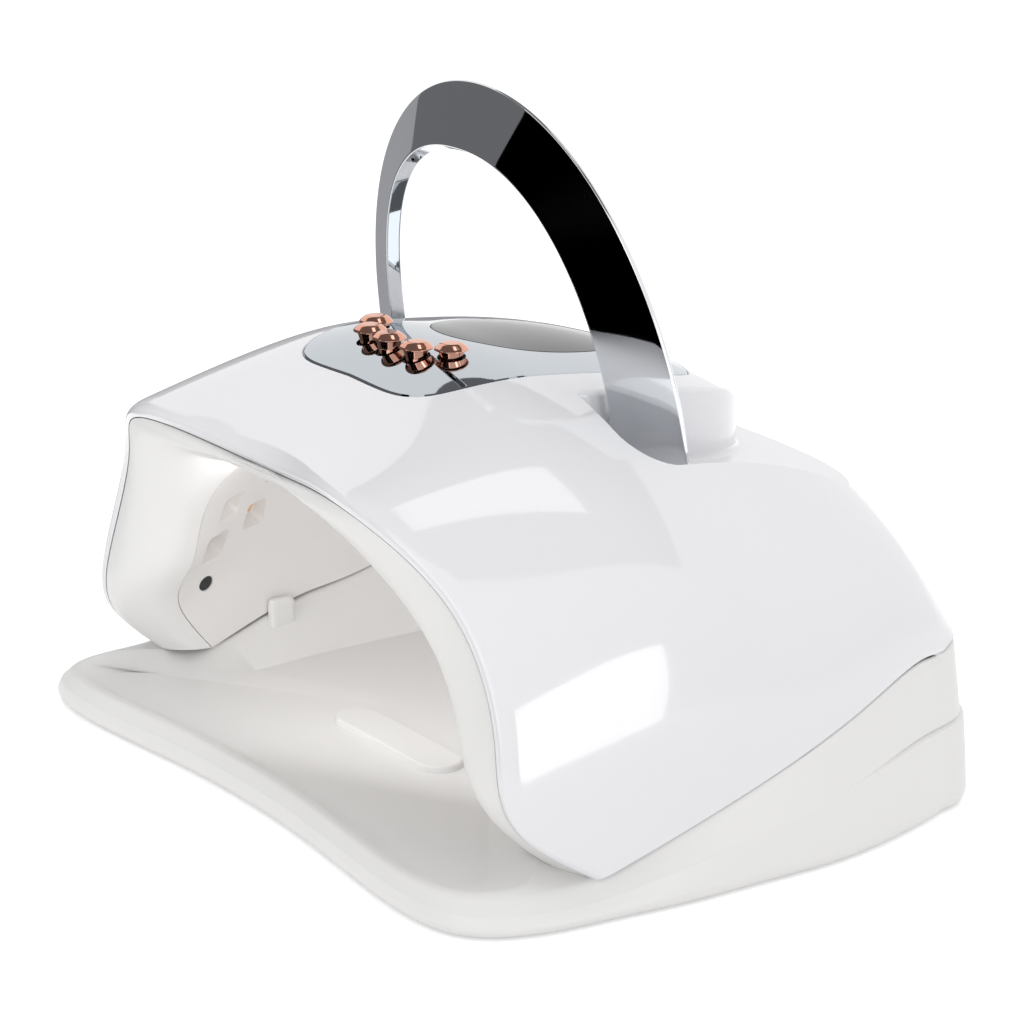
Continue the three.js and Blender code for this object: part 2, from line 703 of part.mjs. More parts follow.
// The board's screws end below the thinnest part of the shell above them.
const wellTop = Math.min(...standoffSpots.map(([x, y]) => hoodHeight(x, y))) - shellThickness;
const wellStart = boardLevel - cutOverrun;
const screwWells = standoffSpots.map(([x, y]) => solidOf(at(
  disc(screwRadius + fitGap, wellTop - wellStart, screwSides), x, y, (wellTop + wellStart) / 2)));
const jackLevel = seamHeight + jackAboveSeam;
const jackAcross = (radius, from, to) => solidOf(at(
  new THREE.CylinderGeometry(radius, radius, to - from, roundSides), 0, (from + to) / 2, jackLevel));
const shell = largest(without(
  joined([solidOf(bodyBetween(outerGrid, innerGrid)), recessTray, ...standoffs]),
  [
    recessVoid,
    layerBody(-2 * cutOverrun, panelSeat).intersect(panelPrism(fitGap)),
    ...buttonHoles,
    solidOf(at(box(displayWindowWidth, displayWindowLength, farAbove), 0, displayDepth, farAbove)),
    ...pinHoles,
    ...screwWells,
    jackAcross(jackRadius + fitGap, hoodBack - jackCut, hoodBack + cutOverrun),
  ],
));
addPiece("top_shell", shell, looks.gloss);
addPiece("front_bezel", largest(bezel), looks.satin);

const panelLayer = layerBody(0, panelThickness);
addPiece("mirror_panel", largest(without(
  panelLayer.intersect(panelPrism(0)), [ovalPrism(fitGap), ...buttonHoles])), looks.mirror);
addPiece("display_window", panelLayer.intersect(ovalPrism(0)), looks.display);

// Base plate: a dished floor, a lip at the front and raised walls under the hood.
const bottomEdge = [
  ...stations.map((_, j) => [0, j]),
  ...turns.slice(1, -1).map((_, i) => [i + 1, stations.length - 1]),
  ...stations.map((_, j) => [turns.length - 1, stations.length - 1 - j]),
];
const planDirection = (from, to) => new THREE.Vector3().subVectors(to, from).setZ(0).normalize();
const baseCentre = new THREE.Vector3(0, 0, baseFloor);
const smoothShare = (share) => clamp01(share) ** 2 * (3 - 2 * clamp01(share));
const mix = (a, b, share) => a + (b - a) * share;

const edgeProfiles = bottomEdge.map(([i, j]) => {
  const fromFoot = basicGrid[i][j].distanceTo(basicGrid[i < turns.length / 2 ? 0 : turns.length - 1][0]);
  const restOuter = basicGrid[i][j].clone()
    .addScaledVector(hoodNormals[i][j], lipSwell * smoothShare(fromFoot / swellFade));
  const restInner = linerSkin(turns[i], stations[j]);
  const inward = hoodNormals[i][Math.max(j, lipStations.length + 1)].clone().setZ(0).normalize().negate();
  const flare = mix(flareAtFoot, flareAtSide, smoothShare(fromFoot / flareFade));
  const bottom = restOuter.clone().addScaledVector(inward, -flare).setZ(baseBottom);
  restOuter.z = Math.min(restOuter.z, innerGrid[i][j].z) - seamGap - fitGap;
  // The liner's outer edge hangs lower than its inner one where its wall leans out.
  const linerFoot = linerNormals[i][Math.max(0, j - lipShares.length + 1)].z * linerThickness;
  restInner.z += Math.min(0, linerFoot) - seamGap - linerSeat;
  const creased = smoothShare((fromFoot - creaseStart) / creaseFade);
  const floorEdge = restInner.clone().addScaledVector(inward, wallSlope).setZ(baseFloor);
  return { bottom, restOuter, restInner, floorEdge, inward, creased };
});
const baseFrontEdge = mirroredEdge(
  baseFrontTurnShares,
  baseFrontAcrossShares.map((share) => share * baseHalfWidth),
  baseFrontReachShares.map((share) => -share * baseFront),
  baseFrontReachShares.map(() => baseBottom),
);
const frontTurns = evenShares(baseFrontSteps, 2, 0).slice(1, -1);
const frontProfiles = frontTurns.map((turn) => {
  const bottom = baseFrontEdge(turn);
  const ahead = baseFrontEdge(turn - turnProbe);
  const along = planDirection(bottom, ahead);
  const inward = new THREE.Vector3(-along.y, along.x, 0);
  const away = smoothShare(Math.min(turn, 2 - turn) / frontFade);
  const past = smoothShare(Math.min(turn, 2 - turn) / restFade);
  const foot = edgeProfiles[0];
  const footWidth = foot.bottom.x - foot.restInner.x;
  const inset = mix(flareAtFoot, lipInset, away);
  const restOuter = bottom.clone().addScaledVector(inward, inset);
  restOuter.z = mix(foot.restOuter.z, baseLipRise, away);
  const restInner = bottom.clone()
    .addScaledVector(inward, inset + mix(footWidth - flareAtFoot, lipWidth, past));
  restInner.z = mix(foot.restInner.z, baseLipRise, past);
  const reach = mix(footWidth + wallSlope, lipInset + lipWidth + lipSlope, away);
  const floorEdge = bottom.clone().addScaledVector(inward, reach).setZ(baseFloor);
  return { bottom, restOuter, restInner, floorEdge, inward, creased: 0 };
});
const baseProfiles = [...edgeProfiles, ...frontProfiles].map((p) => {
  const flank = flankSteps.map(([heightShare, insetShare, creaseShare]) => {
    const point = p.bottom.clone().lerp(p.restOuter, insetShare);
    point.z = mix(baseBottom + baseEdge, p.restOuter.z, heightShare);
    return point.addScaledVector(p.inward, creaseDepth * creaseShare * p.creased);
  });
  const raised = (point, z) => point.clone().setZ(z);
  const inwards = planDirection(p.restOuter, p.restInner);
  return [
    p.floorEdge,
    p.restInner,
    p.restOuter,
    ...flank,
    raised(p.bottom, baseBottom + baseEdge),
    p.bottom.clone().addScaledVector(p.inward, baseEdge / 2),
    p.bottom.clone().addScaledVector(p.inward, baseEdge / 2 + baseWall),
    raised(p.restOuter.clone().addScaledVector(inwards, baseWall), p.restOuter.z - baseWall),
    raised(p.restInner, p.restInner.z - baseWall),
    raised(p.floorEdge.clone().addScaledVector(p.inward, baseWall / 2), baseFloor - baseFloorThickness),
  ];
});
// Closed body from profiles set round a centre; its first and last points join in the middle.
function bodyAround(profiles, top, bottom) {
  const count = profiles.length;
  const length = profiles[0].length;
  const positions = [];
  profiles.forEach((profile) => profile.forEach((point) => positions.push(point.x, point.y, point.z)));
  positions.push(top.x, top.y, top.z, bottom.x, bottom.y, bottom.z);
  const indices = [];
  for (let k = 0; k < count; k += 1) {
    const here = k * length;
    const next = ((k + 1) % count) * length;
    for (let m = 0; m < length - 1; m += 1) {
      indices.push(here + m, here + m + 1, next + m + 1, here + m, next + m + 1, next + m);
    }
    indices.push(count * length, here, next);
    indices.push(count * length + 1, next + length - 1, here + length - 1);
  }
  const geometry = new THREE.BufferGeometry();
  geometry.setAttribute("position", new THREE.Float32BufferAttribute(positions, 3));
  geometry.setIndex(indices);
  return facingOut(geometry);
}
const baseBody = solidOf(bodyAround(
  baseProfiles, baseCentre, baseCentre.clone().setZ(baseFloor - baseFloorThickness)));
const footSpots = [[-1, -1], [1, -1], [-1, 1], [1, 1]].map(([a, b]) => [
  a * footAcross, b < 0 ? -footFrontDepth : footBackDepth]);
const footTop = baseFloor - baseFloorThickness + bedding;
const footPosts = footSpots.map(([x, y]) => solidOf(at(
  disc(footRubberRadius + baseWall, footTop - baseBottom), x, y, (footTop + baseBottom) / 2)));
const footPockets = footSpots.map(([x, y]) => solidOf(at(
  disc(footRubberRadius + fitGap, 2 * footRubberHeight), x, y, fitGap)));
const restSide = (2 * Math.PI) / (roundSides + 2);
const restOutline = evenShares(roundSides + 2, restSide / 2, 2 * Math.PI + restSide / 2).map((angle) => {
  const straight = (restHalfLength - restHalfWidth) * Math.sign(Math.cos(angle));
  return new THREE.Vector2(
    straight + restHalfWidth * Math.cos(angle),
    -restDepth + restHalfWidth * Math.sin(angle),
  );
}).slice(0, -1);
const fingerRest = solidOf(prism(restOutline, baseFloor - bedding, baseFloor + restHeight));
const seatCuts = [
  bezelLayer(-seamGap, bezelThickness + seamGap).translate([0, 0, -seamGap - fitGap]),
];
footSpots.forEach(([x, y], i) => {
  addPiece(`rubber_foot_${i + 1}`, solidOf(at(
    disc(footRubberRadius, footRubberHeight), x, y, footRubberHeight / 2)), looks.rubber);
});

// Handle: a conical band with rounded feet, hinged on lugs.
const handleEdge = (halfWidth, rise, squareness, depth, lean) => (angle) => {
  const height = Math.abs(Math.sin(angle));
  return new THREE.Vector3(
    halfWidth * signedPower(Math.cos(angle), 2 / squareness),
    depth - lean * height,
    handleFootRise + rise * height ** (2 / squareness),
  );
};
const handleInner = handleEdge(
  handleInnerHalfWidth, handleInnerRise, handleInnerSquareness, handleInnerDepth, handleInnerLean);
const handleOuter = handleEdge(
  handleOuterHalfWidth, handleOuterRise, handleOuterSquareness, handleOuterDepth, handleOuterLean);
const handleAngles = evenShares(handleSteps, 0, Math.PI);
const bandPoint = (angle, share, drop) => {
  const point = handleInner(angle).lerp(handleOuter(angle), share);
  point.z -= drop * Math.sqrt(Math.max(0, 1 - (2 * share - 1) ** 2));
  return point;
};
const handleFace = handleAngles.map((angle) => {
  const nearFoot = Math.max(0, 1 - Math.min(angle, Math.PI - angle) / handleFootSpan);
  return bandShares.map((share) => bandPoint(angle, share, handleFootDrop * nearFoot));
});
const handleNormals = gridNormals(handleFace);
const handleBack = movedGrid(handleFace, handleNormals, () => handleThickness);
const band = solidOf(bodyBetween(handleFace, handleBack));
const aheadOfBand = solidOf(bodyBetween(
  movedGrid(handleFace, handleNormals, () => -4 * handleThickness),
  movedGrid(handleFace, handleNormals, () => handleThickness / 4),
));
const lugStart = bossHalfWidth + seamGap;
const lugs = [1, -1].map((side) => solidOf(at(
  barAlongX(lugRadius, lugReach), side * (lugStart + lugReach / 2), pivotDepth, pivotRise))
  .subtract(aheadOfBand));
const lugBores = [1, -1].map((side) => solidOf(at(
  barAlongX(pivotRadius + pivotGap, lugLength + seamGap + cutOverrun),
  side * (lugStart + (lugLength + seamGap - cutOverrun) / 2), pivotDepth, pivotRise)));
addPiece("handle", largest(without(joined([band, ...lugs]), lugBores)), looks.mirror);
[1, -1].forEach((side) => {
  const name = side > 0 ? "right" : "left";
  const inner = side * (pinInner + pinHead / 2 - fitGap);
  const middle = side * (pinInner + pinOuter) / 2;
  const head = at(barAlongX(pivotRadius * 2, pinHead), inner, pivotDepth, pivotRise);
  const stem = at(barAlongX(pivotRadius, pinOuter - pinInner), middle, pivotDepth, pivotRise);
  addPiece(`pivot_pin_${name}`, joined([solidOf(head), solidOf(stem)]), looks.steel);
});

// Rows of light pockets in the liner; each row shares one flat strip behind it.
function spotOnLiner(turn, depth) {
  let low = 0;
  let high = 1;
  for (let step = 0; step < 30; step += 1) {
    const middle = (low + high) / 2;
    if (linerSkin(turn, middle).y < depth) low = middle;
    else high = middle;
  }
  return linerSkin(turn, low);
}
function outwardOnLiner(turn, depth) {
  const here = spotOnLiner(turn, depth);
  const beside = spotOnLiner(turn + turnProbe, depth).sub(here);
  const behind = spotOnLiner(turn, depth + skinProbe).sub(here);
  return behind.cross(beside).normalize();
}
// A frame with its first axis along the lamp, its second square to the skin.
function frameAt(point, outward) {
  const along = new THREE.Vector3(0, 1, 0).addScaledVector(outward, -outward.y).normalize();
  const up = new THREE.Vector3().crossVectors(along, outward);
  return new THREE.Matrix4().makeBasis(along, outward, up).setPosition(point);
}
const inFrame = (geometry, frame) => solidOf(geometry.applyMatrix4(frame));
const tapered = (length, width, nearShare, height) => {
  const geometry = new THREE.CylinderGeometry(Math.SQRT1_2, nearShare * Math.SQRT1_2, height, 4);
  return geometry.rotateY(Math.PI / 4).scale(length, 1, width).translate(0, height / 2, 0);
};
const pocketBodies = [];
const pocketVoids = [];
const lightRows = [
  { name: "low", turn: lowRowTurn, depths: lowPocketDepths },
  { name: "middle", turn: middleRowTurn, depths: middlePocketDepths },
  { name: "high", turn: highRowTurn, depths: highPocketDepths },
];
const everyRow = [
  ...lightRows.map((row) => ({ ...row, name: `right_${row.name}` })),
  { name: "roof", turn: roofRowTurn, depths: roofPocketDepths },
  ...lightRows.map((row) => ({ ...row, name: `left_${row.name}`, turn: 2 - row.turn })),
];
const lightPieces = [];
everyRow.forEach(({ name, turn, depths }) => {
  const outward = new THREE.Vector3();
  depths.forEach((depth) => outward.add(outwardOnLiner(turn, depth)));
  outward.normalize();
  const spots = depths.map((depth) => spotOnLiner(turn, depth));
  const plane = Math.max(...spots.map((spot) => spot.dot(outward))) + pocketDepth;
  const backs = spots.map((spot) => spot.clone().addScaledVector(outward, plane - spot.dot(outward)));
  spots.forEach((spot, i) => {
    const frame = frameAt(backs[i], outward);
    const reach = pocketDepth + pocketOverlap;
    const outerLength = pocketLength + 2 * pocketWall;
    const outerWidth = pocketWidth + 2 * pocketWall;
    const outside = tapered(outerLength, outerWidth, pocketMouthShare, reach).translate(0, -reach, 0);
    const inside = tapered(pocketLength, pocketWidth, pocketMouthShare, reach + pocketOverlap);
    inside.translate(0, -reach - pocketOverlap - pocketWall, 0);
    pocketBodies.push(inFrame(outside, frame));
    pocketVoids.push(inFrame(inside, frame));
    pocketVoids.push(inFrame(box(beadSize + 2 * seamGap, 4 * pocketWall, beadSize + 2 * seamGap), frame));
    const bead = box(beadSize, pocketWall + fitGap, beadSize).translate(0, (fitGap - pocketWall) / 2, 0);
    lightPieces.push([`led_${name}_${i + 1}`, inFrame(bead, frame), looks.bead]);
  });
  const ends = [backs[0], backs[backs.length - 1]];
  const middle = ends[0].clone().lerp(ends[1], 1 / 2);
  const length = ends[0].distanceTo(ends[1]) + pocketLength;
  const strip = box(length, boardThickness, stripWidth).translate(0, seamGap + boardThickness / 2, 0);
  lightPieces.push([`led_strip_${name}`, inFrame(strip, frameAt(middle, outward)), looks.board]);
});
const linerInside = solidOf(bodyBetween(linerLayer(-pocketReach), linerLayer(0)));
const sensorFrames = [sensorTurn, 2 - sensorTurn].map((turn) =>
  frameAt(spotOnLiner(turn, -sensorDepth), outwardOnLiner(turn, -sensorDepth)));
const alongOutward = (radius, from, to) =>
  new THREE.CylinderGeometry(radius, radius, to - from, roundSides).translate(0, (from + to) / 2, 0);
const liner = largest(without(
  joined([linerShell, ...pocketBodies.map((body) => body.subtract(linerInside))]),
  [...pocketVoids, ...sensorFrames.map((frame) =>
    inFrame(alongOutward(sensorRadius + fitGap, -cutOverrun, cutOverrun), frame))],
));
addPiece("reflector_liner", liner, looks.liner);
sensorFrames.forEach((frame, i) => {
  const body = alongOutward(sensorRadius, seamGap, sensorLength);
  addPiece(`hand_sensor_${i === 0 ? "right" : "left"}`, inFrame(body, frame), looks.dark);
});
lightPieces.forEach(([name, body, look]) => addPiece(name, body, look));

// Cover that closes the hood from below, between shell and liner.
const coverEdge = bottomEdge.flatMap(([, j], k) => (stations[j] >= coverStart ? [k] : []));
function bodyAlong(sections) {
  const size = sections[0].length;
  const positions = sections.flat().flatMap((point) => [point.x, point.y, point.z]);
  const indices = [];
  for (let k = 0; k < sections.length - 1; k += 1) {
    for (let m = 0; m < size; m += 1) {
      const a = k * size + m;
      const b = k * size + ((m + 1) % size);
      indices.push(a, b, b + size, a, b + size, a + size);
    }
  }
  const last = (sections.length - 1) * size;
  for (let m = 1; m < size - 1; m += 1) {
    indices.push(0, m + 1, m, last, last + m, last + m + 1);
  }
  const geometry = new THREE.BufferGeometry();
  geometry.setAttribute("position", new THREE.Float32BufferAttribute(positions, 3));
  geometry.setIndex(indices);
  return facingOut(geometry);
}
const coverSections = coverEdge.map((k) => {
  const { restOuter, restInner } = edgeProfiles[k];
  const width = restOuter.distanceTo(restInner);
  const low = new THREE.Vector3(0, 0, coverLift);
  const high = low.clone().setZ(low.z + coverThickness);
  const outside = restOuter.clone().lerp(restInner, (shellThickness + coverFit) / width);
  const inside = restInner.clone().lerp(restOuter, (linerThickness + 2 * coverFit) / width);
  return [
    outside.clone().add(low),
    inside.clone().add(low),
    inside.clone().add(high),
    restOuter.clone().lerp(restInner, (shellThickness + coverFit + coverDraft) / width).add(high),
  ];
});
const magnetIndex = edgeProfiles.findIndex(({ restOuter }) => restOuter.y > magnetDepth);
const magnetFrames = [magnetIndex, bottomEdge.length - 1 - magnetIndex].map((k) => {
  const here = edgeProfiles[k];
  const next = edgeProfiles[k + 1];
  const middle = here.restOuter.clone().lerp(here.restInner, 1 / 2);
  const ahead = next.restOuter.clone().lerp(next.restInner, 1 / 2).sub(middle);
  const across = here.restInner.clone().sub(here.restOuter);
  const up = across.cross(ahead).normalize();
  if (up.z < 0) up.negate();
  return frameAt(middle, up);
});
const magnetPart = (frame, radius, from, to) => inFrame(alongOutward(radius, from, to), frame);
const gapTop = seamGap + fitGap;
const magnetTop = gapTop + magnetHeight;
const coverCups = magnetFrames.map((frame) =>
  magnetPart(frame, magnetRadius + pocketWall, gapTop + bedding, magnetTop + pocketWall + seamGap));
const coverPockets = magnetFrames.map((frame) =>
  magnetPart(frame, magnetRadius + fitGap, -cutOverrun, magnetTop + fitGap));
const cover = without(joined([solidOf(bodyAlong(coverSections)), ...coverCups]), coverPockets);
addPiece("under_cover", largest(cover), looks.satin);
magnetFrames.forEach((frame, i) => {
  const side = i === 0 ? "right" : "left";
  const above = magnetPart(frame, magnetRadius, gapTop, magnetTop);
  const below = magnetPart(frame, magnetRadius, -fitGap - magnetHeight, -fitGap);
  addPiece(`hood_magnet_${side}`, above, looks.steel);
  addPiece(`base_magnet_${side}`, below, looks.steel);
});
const magnetCups = magnetFrames.map((frame) =>
  magnetPart(frame, magnetRadius + pocketWall, -magnetHeight - 2 * pocketWall, -bedding));
const magnetPockets = magnetFrames.map((frame) =>
  magnetPart(frame, magnetRadius + fitGap, -magnetHeight - seamGap, cutOverrun));
const tabs = [0, 2].map((turn) => {
  const spot = spotOnLiner(turn, tabDepth);
  const side = Math.sign(spot.x);
  return solidOf(at(box(tabThickness, tabLength, tabRise * 2),
    spot.x - side * (tabThickness / 2 + tabGap), spot.y, spot.z));
});
addPiece("base_plate", largest(without(
  joined([baseBody, ...footPosts, fingerRest, ...magnetCups, ...tabs]),
  [...footPockets, ...seatCuts, ...magnetPockets],
)), looks.satin);

// Control board on standoffs, with the switches and the display on it.
const boardLength = standoffFront + standoffBack + 2 * boardMargin;
const boardDepth = (standoffBack - standoffFront) / 2;
const screwHoles = standoffSpots.map(([x, y]) => holeAt(x, y, screwRadius + fitGap));
addPiece("control_board", without(
  solidOf(at(
    box(2 * (standoffAcross + boardMargin), boardLength, boardThickness),
    0, boardDepth, boardLevel - seamGap - boardThickness / 2)),
  screwHoles,
), looks.green);
standoffSpots.forEach(([x, y], i) => {
  const underBoard = boardLevel - 2 * seamGap - boardThickness;
  const head = at(disc(2 * screwRadius, screwHead, screwSides), x, y, underBoard - screwHead / 2);
  const length = wellTop - fitGap - underBoard;
  const stem = at(disc(screwRadius, length, screwSides), x, y, underBoard - fitGap + length / 2);
  addPiece(`board_screw_${i + 1}`, joined([solidOf(head), solidOf(stem)]), looks.steel);
});
buttonSpots.forEach(({ x, y }, i) => {
  const body = at(box(switchSize, switchSize, switchHeight), x, y, boardLevel + switchHeight / 2);
  addPiece(`switch_${i + 1}`, solidOf(body), looks.dark);
});
const moduleWidth = displayWindowWidth + 2 * boardMargin;
const moduleLength = displayWindowLength + boardMargin;
const moduleCorners = [[-1, -1], [1, -1], [-1, 1], [1, 1]].map(([a, b]) =>
  hoodHeight(a * moduleWidth / 2, displayDepth + b * moduleLength / 2));
const moduleHeight = Math.min(...moduleCorners) - shellThickness - moduleBelow - boardLevel;
addPiece("display_module", solidOf(at(
  box(moduleWidth, moduleLength, moduleHeight), 0, displayDepth, boardLevel + moduleHeight / 2)), looks.dark);

// Power inlet in the rear of the shell.
const rearDepth = (level) => {
  const row = outerGrid[hoodTurns / 2];
  const j = row.findIndex((point, k) => k > hoodStations / 2 && point.z < level);
  const share = (row[j - 1].z - level) / (row[j - 1].z - row[j].z);
  return mix(row[j - 1].y, row[j].y, share);
};
const jackFace = rearDepth(jackLevel + jackRadius) - fitGap;
addPiece("power_inlet", without(
  joined([jackAcross(jackRadius, jackFace - jackLength, jackFace), solidOf(at(
    box(2 * jackRadius + jackFlange, jackBody, 2 * jackRadius + jackFlange),
    0, jackFace - jackLength, jackLevel))]),
  [jackAcross(jackBore, jackFace - jackLength, jackFace + cutOverrun)],
).add(jackAcross(jackPin, jackFace - jackLength - bedding, jackFace - jackPinShy)), looks.dark);

// Buttons: a stem through the panel and a double cone with a flat top.
buttonSpots.forEach(({ x, y, level }, i) => {
  const stemEnd = boardLevel + switchHeight + buttonUnder - level;
  const profile = [
    [0, stemEnd],
    [buttonStemRadius, stemEnd],
    [buttonStemRadius, buttonUnder],
    ...headUnderside,
    [buttonHeadRadius * headTopShare, buttonProud],
    [0, buttonProud],
  ];
  addPiece(`button_${i + 1}`, solidOf(at(turned(profile), x, y, level)), looks.copper);
});

// The group is centred in depth, so that the origin lies under its middle.
const bounds = pieces.map(({ body }) => body.boundingBox());
const nearest = Math.min(...bounds.map(({ min }) => min[1]));
const furthest = Math.max(...bounds.map(({ max }) => max[1]));
const group = new THREE.Group();
pieces.forEach(({ name, body, look }) => {
  const [color, roughness, metalness] = look;
  const material = new THREE.MeshStandardMaterial({ color, roughness, metalness });
  const mesh = new THREE.Mesh(geometryOf(body), material);
  mesh.name = name;
  mesh.geometry.translate(0, -(nearest + furthest) / 2, 0);
  group.add(mesh);
});

export default group;
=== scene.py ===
"""A nail lamp: arched hood, mirror control panel with push buttons, conical handle, detachable base plate.

Lengths are in metres. The lamp opens towards -Y, stands on z = 0, and is the same on both sides of x = 0.
"""

import math

import bmesh
import bpy
import numpy as np
from bpy.props import FloatProperty, FloatVectorProperty, IntProperty, PointerProperty
from mathutils import Matrix, Vector
from mathutils.bvhtree import BVHTree


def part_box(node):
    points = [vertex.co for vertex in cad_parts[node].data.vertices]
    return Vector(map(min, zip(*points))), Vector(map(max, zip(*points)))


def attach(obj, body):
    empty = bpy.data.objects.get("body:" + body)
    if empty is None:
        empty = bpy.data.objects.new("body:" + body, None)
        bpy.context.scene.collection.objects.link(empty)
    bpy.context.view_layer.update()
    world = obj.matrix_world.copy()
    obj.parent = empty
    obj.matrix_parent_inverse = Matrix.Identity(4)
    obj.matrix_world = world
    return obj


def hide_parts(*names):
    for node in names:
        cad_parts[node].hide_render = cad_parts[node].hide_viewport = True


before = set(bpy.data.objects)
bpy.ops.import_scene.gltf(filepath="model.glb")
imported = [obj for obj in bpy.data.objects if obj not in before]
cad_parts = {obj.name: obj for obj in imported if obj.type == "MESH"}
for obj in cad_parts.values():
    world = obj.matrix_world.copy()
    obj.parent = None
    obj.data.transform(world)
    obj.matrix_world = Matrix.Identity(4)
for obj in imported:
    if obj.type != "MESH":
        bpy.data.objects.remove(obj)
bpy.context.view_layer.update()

bl_info = {
    "name": "Nail Lamp",
    "version": (1, 0, 0),
    "blender": (4, 5, 0),
    "location": "3D View > Sidebar > Nail Lamp",
    "description": "Builds a nail lamp with its hood, hand cavity, panel, buttons, handle and base plate",
    "category": "Add Mesh",
}

MM = 0.001

# Levels that upright cutters reach to: under the hood's crown, under its panel and over the whole lamp.
UNDER_CROWN = 0.08
UNDER_PANEL = 0.09
OVER_LAMP = 0.2

# Height that cutters take beside the hood's skin.
BESIDE_SKIN = 0.1

# Stations of the rounded lip, as shares of its depth.
LIP_STATIONS = (0, 0.03, 0.1, 0.2, 0.34, 0.5, 0.7, 0.85, 1)

# Front edge of the hood, from the foot to the middle of the brow, as shares of the hood's sizes.
RIM_TURNS = (0, 0.11, 0.3, 0.52, 0.69, 1)
RIM_ACROSS = (0.954, 0.909, 0.859, 0.702, 0.495, 0)
RIM_REACH = (0.565, 0.781, 0.84, 0.874, 1, 0.912)
RIM_RISE = (0.075, 0.181, 0.388, 0.664, 0.812, 0.795)

# Inner edge of the bezel, at the same turns.
MOUTH_ACROSS = (0.733, 0.729, 0.645, 0.527, 0.302, 0)
MOUTH_REACH = (0.622, 0.746, 0.767, 0.793, 0.858, 0.941)
MOUTH_RISE = (0.112, 0.227, 0.368, 0.549, 0.705, 0.779)

# Arches of the hood and of the liner behind that edge, from the front to the rear seam.
ARCH_STATIONS = (0, 0.16, 0.4, 0.66, 0.86, 1)
HOOD_ARCHES = {
    "half_width": (0.975, 0.995, 0.98, 0.935, 0.905),
    "foot_depth": (-0.22, 0.12, 0.39, 0.61, 0.73),
    "top_depth": (-0.5, -0.06, 0.42, 0.81, 0.985),
    "foot_rise": (0.157, 0.25, 0.33, 0.38, 0.384),
    "top_rise": (0.968, 0.992, 0.922, 0.7, 0.392),
    "squareness": (2.4, 2.15, 2.05, 2.1, 2.3),
}
LINER_ARCHES = {
    "half_width": (0.746, 0.752, 0.746, 0.715, 0.69),
    "foot_depth": (-0.22, 0.06, 0.36, 0.53, 0.6),
    "top_depth": (-0.4, 0.0, 0.45, 0.7, 0.8),
    "foot_rise": (0.175, 0.21, 0.27, 0.3, 0.31),
    "top_rise": (0.76, 0.74, 0.7, 0.6, 0.315),
    "squareness": (2.5, 2.5, 2.5, 2.5, 3),
}

# Half of the panel's outline, from the middle of its front edge to the middle of its rear end.
PANEL_ACROSS = (0, 0.4, 0.66, 0.83, 0.93, 0.975, 0.975, 0.98, 1, 0.9, 0.6, 0)
PANEL_REACH = (-0.95, -0.955, -0.925, -0.83, -0.65, -0.42, -0.15, 0.15, 0.5, 0.8, 0.95, 1)

# Half of the base plate's front edge, from the hood's foot to the middle.
BASE_TURNS = (0, 0.1, 0.2, 0.32, 0.44, 0.58, 0.78, 1)
BASE_ACROSS = (0.994, 0.987, 0.953, 0.868, 0.75, 0.6, 0.3, 0)
BASE_REACH = (0.52, 0.67, 0.84, 0.965, 0.997, 0.993, 0.95, 0.932)

# Steps of the base's flank below its rest, as shares of its height, its inset and the depth of its crease.
FLANK_STEPS = ((0.8, 0.72, 0.5), (0.525, 0.35, 1), (0.512, 0.33, 2), (0.5, 0.3, 0), (0.25, 0.12, 0))

# Radii in millimetres of the inner corners of the base's section, from the floor over the wall and under it.
SECTION_RADII = (1.2, 1.2, 3, 0.2, 0.1, 0.3, 3, 2.2, 0.8, 1, 1, 1)

# Outline of a locating tab in millimetres: half its width, half its length, height over the liner's foot.
TAB_STEPS = ((1.6, 4.2, -6), (1.5, 4.0, 2), (1.1, 3.4, 3.2), (0.5, 2.6, 3.5))

# Upper edge of the finger rest in millimetres: how far it draws in, depth below its top.
REST_STEPS = ((0, 0.8), (0.25, 0.25), (0.9, 0))

# Places of the buttons as shares of their spread and reach.
BUTTON_ACROSS = (1, 0.61, 0, -0.61, -1)
BUTTON_REACH = (0.775, 0.965, 1, 0.965, 0.775)

# Cap of a button: share of its radius, and depth below its top in millimetres.
CAP_PROFILE = ((0, 0), (0.5, 0), (0.68, 0.3), (0.91, 1.2), (1, 1.7), (1, 1.85), (0.96, 1.95))

# Neck of a button below the cap: share of its stem's radius, and depth in millimetres.
NECK_PROFILE = ((1.12, 4.4), (1.1, 7.2), (1, 7.6))

# Rows of light pockets: their turn round the liner and the depths of their pockets.
SIDE_ROWS = ((0.27, (-0.045, -0.030, -0.006)), (0.41, (-0.043, -0.026)), (0.53, (-0.035,)))
ROOF_ROW = (1.0, (-0.044, -0.018, 0.008))
POCKET_ROWS = (*SIDE_ROWS, ROOF_ROW, *((2 - turn, depths) for turn, depths in SIDE_ROWS))
WINDOW_TURNS = (0.14, 1.86)

# Roughness, metal, clear coat and grain of each finish; its colour is the lamp's colour of that name.
FINISHES = {
    "gloss": (0.10, 0, 0.6, 0),
    "satin": (0.42, 0, 0, 0.12),
    "liner": (0.36, 0, 0, 0.08),
    "bright": (0.035, 1, 0, 0),
    "mirror": (0.03, 1, 0, 0),
    "display": (0.07, 0, 0, 0),
    "copper": (0.10, 1, 0, 0),
    "chip": (0.30, 0, 0.5, 0),
    "rubber": (0.75, 0, 0, 0.3),
    "steel": (0.30, 1, 0, 0),
    "board": (0.45, 0, 0.2, 0),
    "strip": (0.5, 0, 0, 0),
    "dark": (0.38, 0, 0, 0),
}
WEAR = 0.06  # how far the roughness of a finish varies, as a share

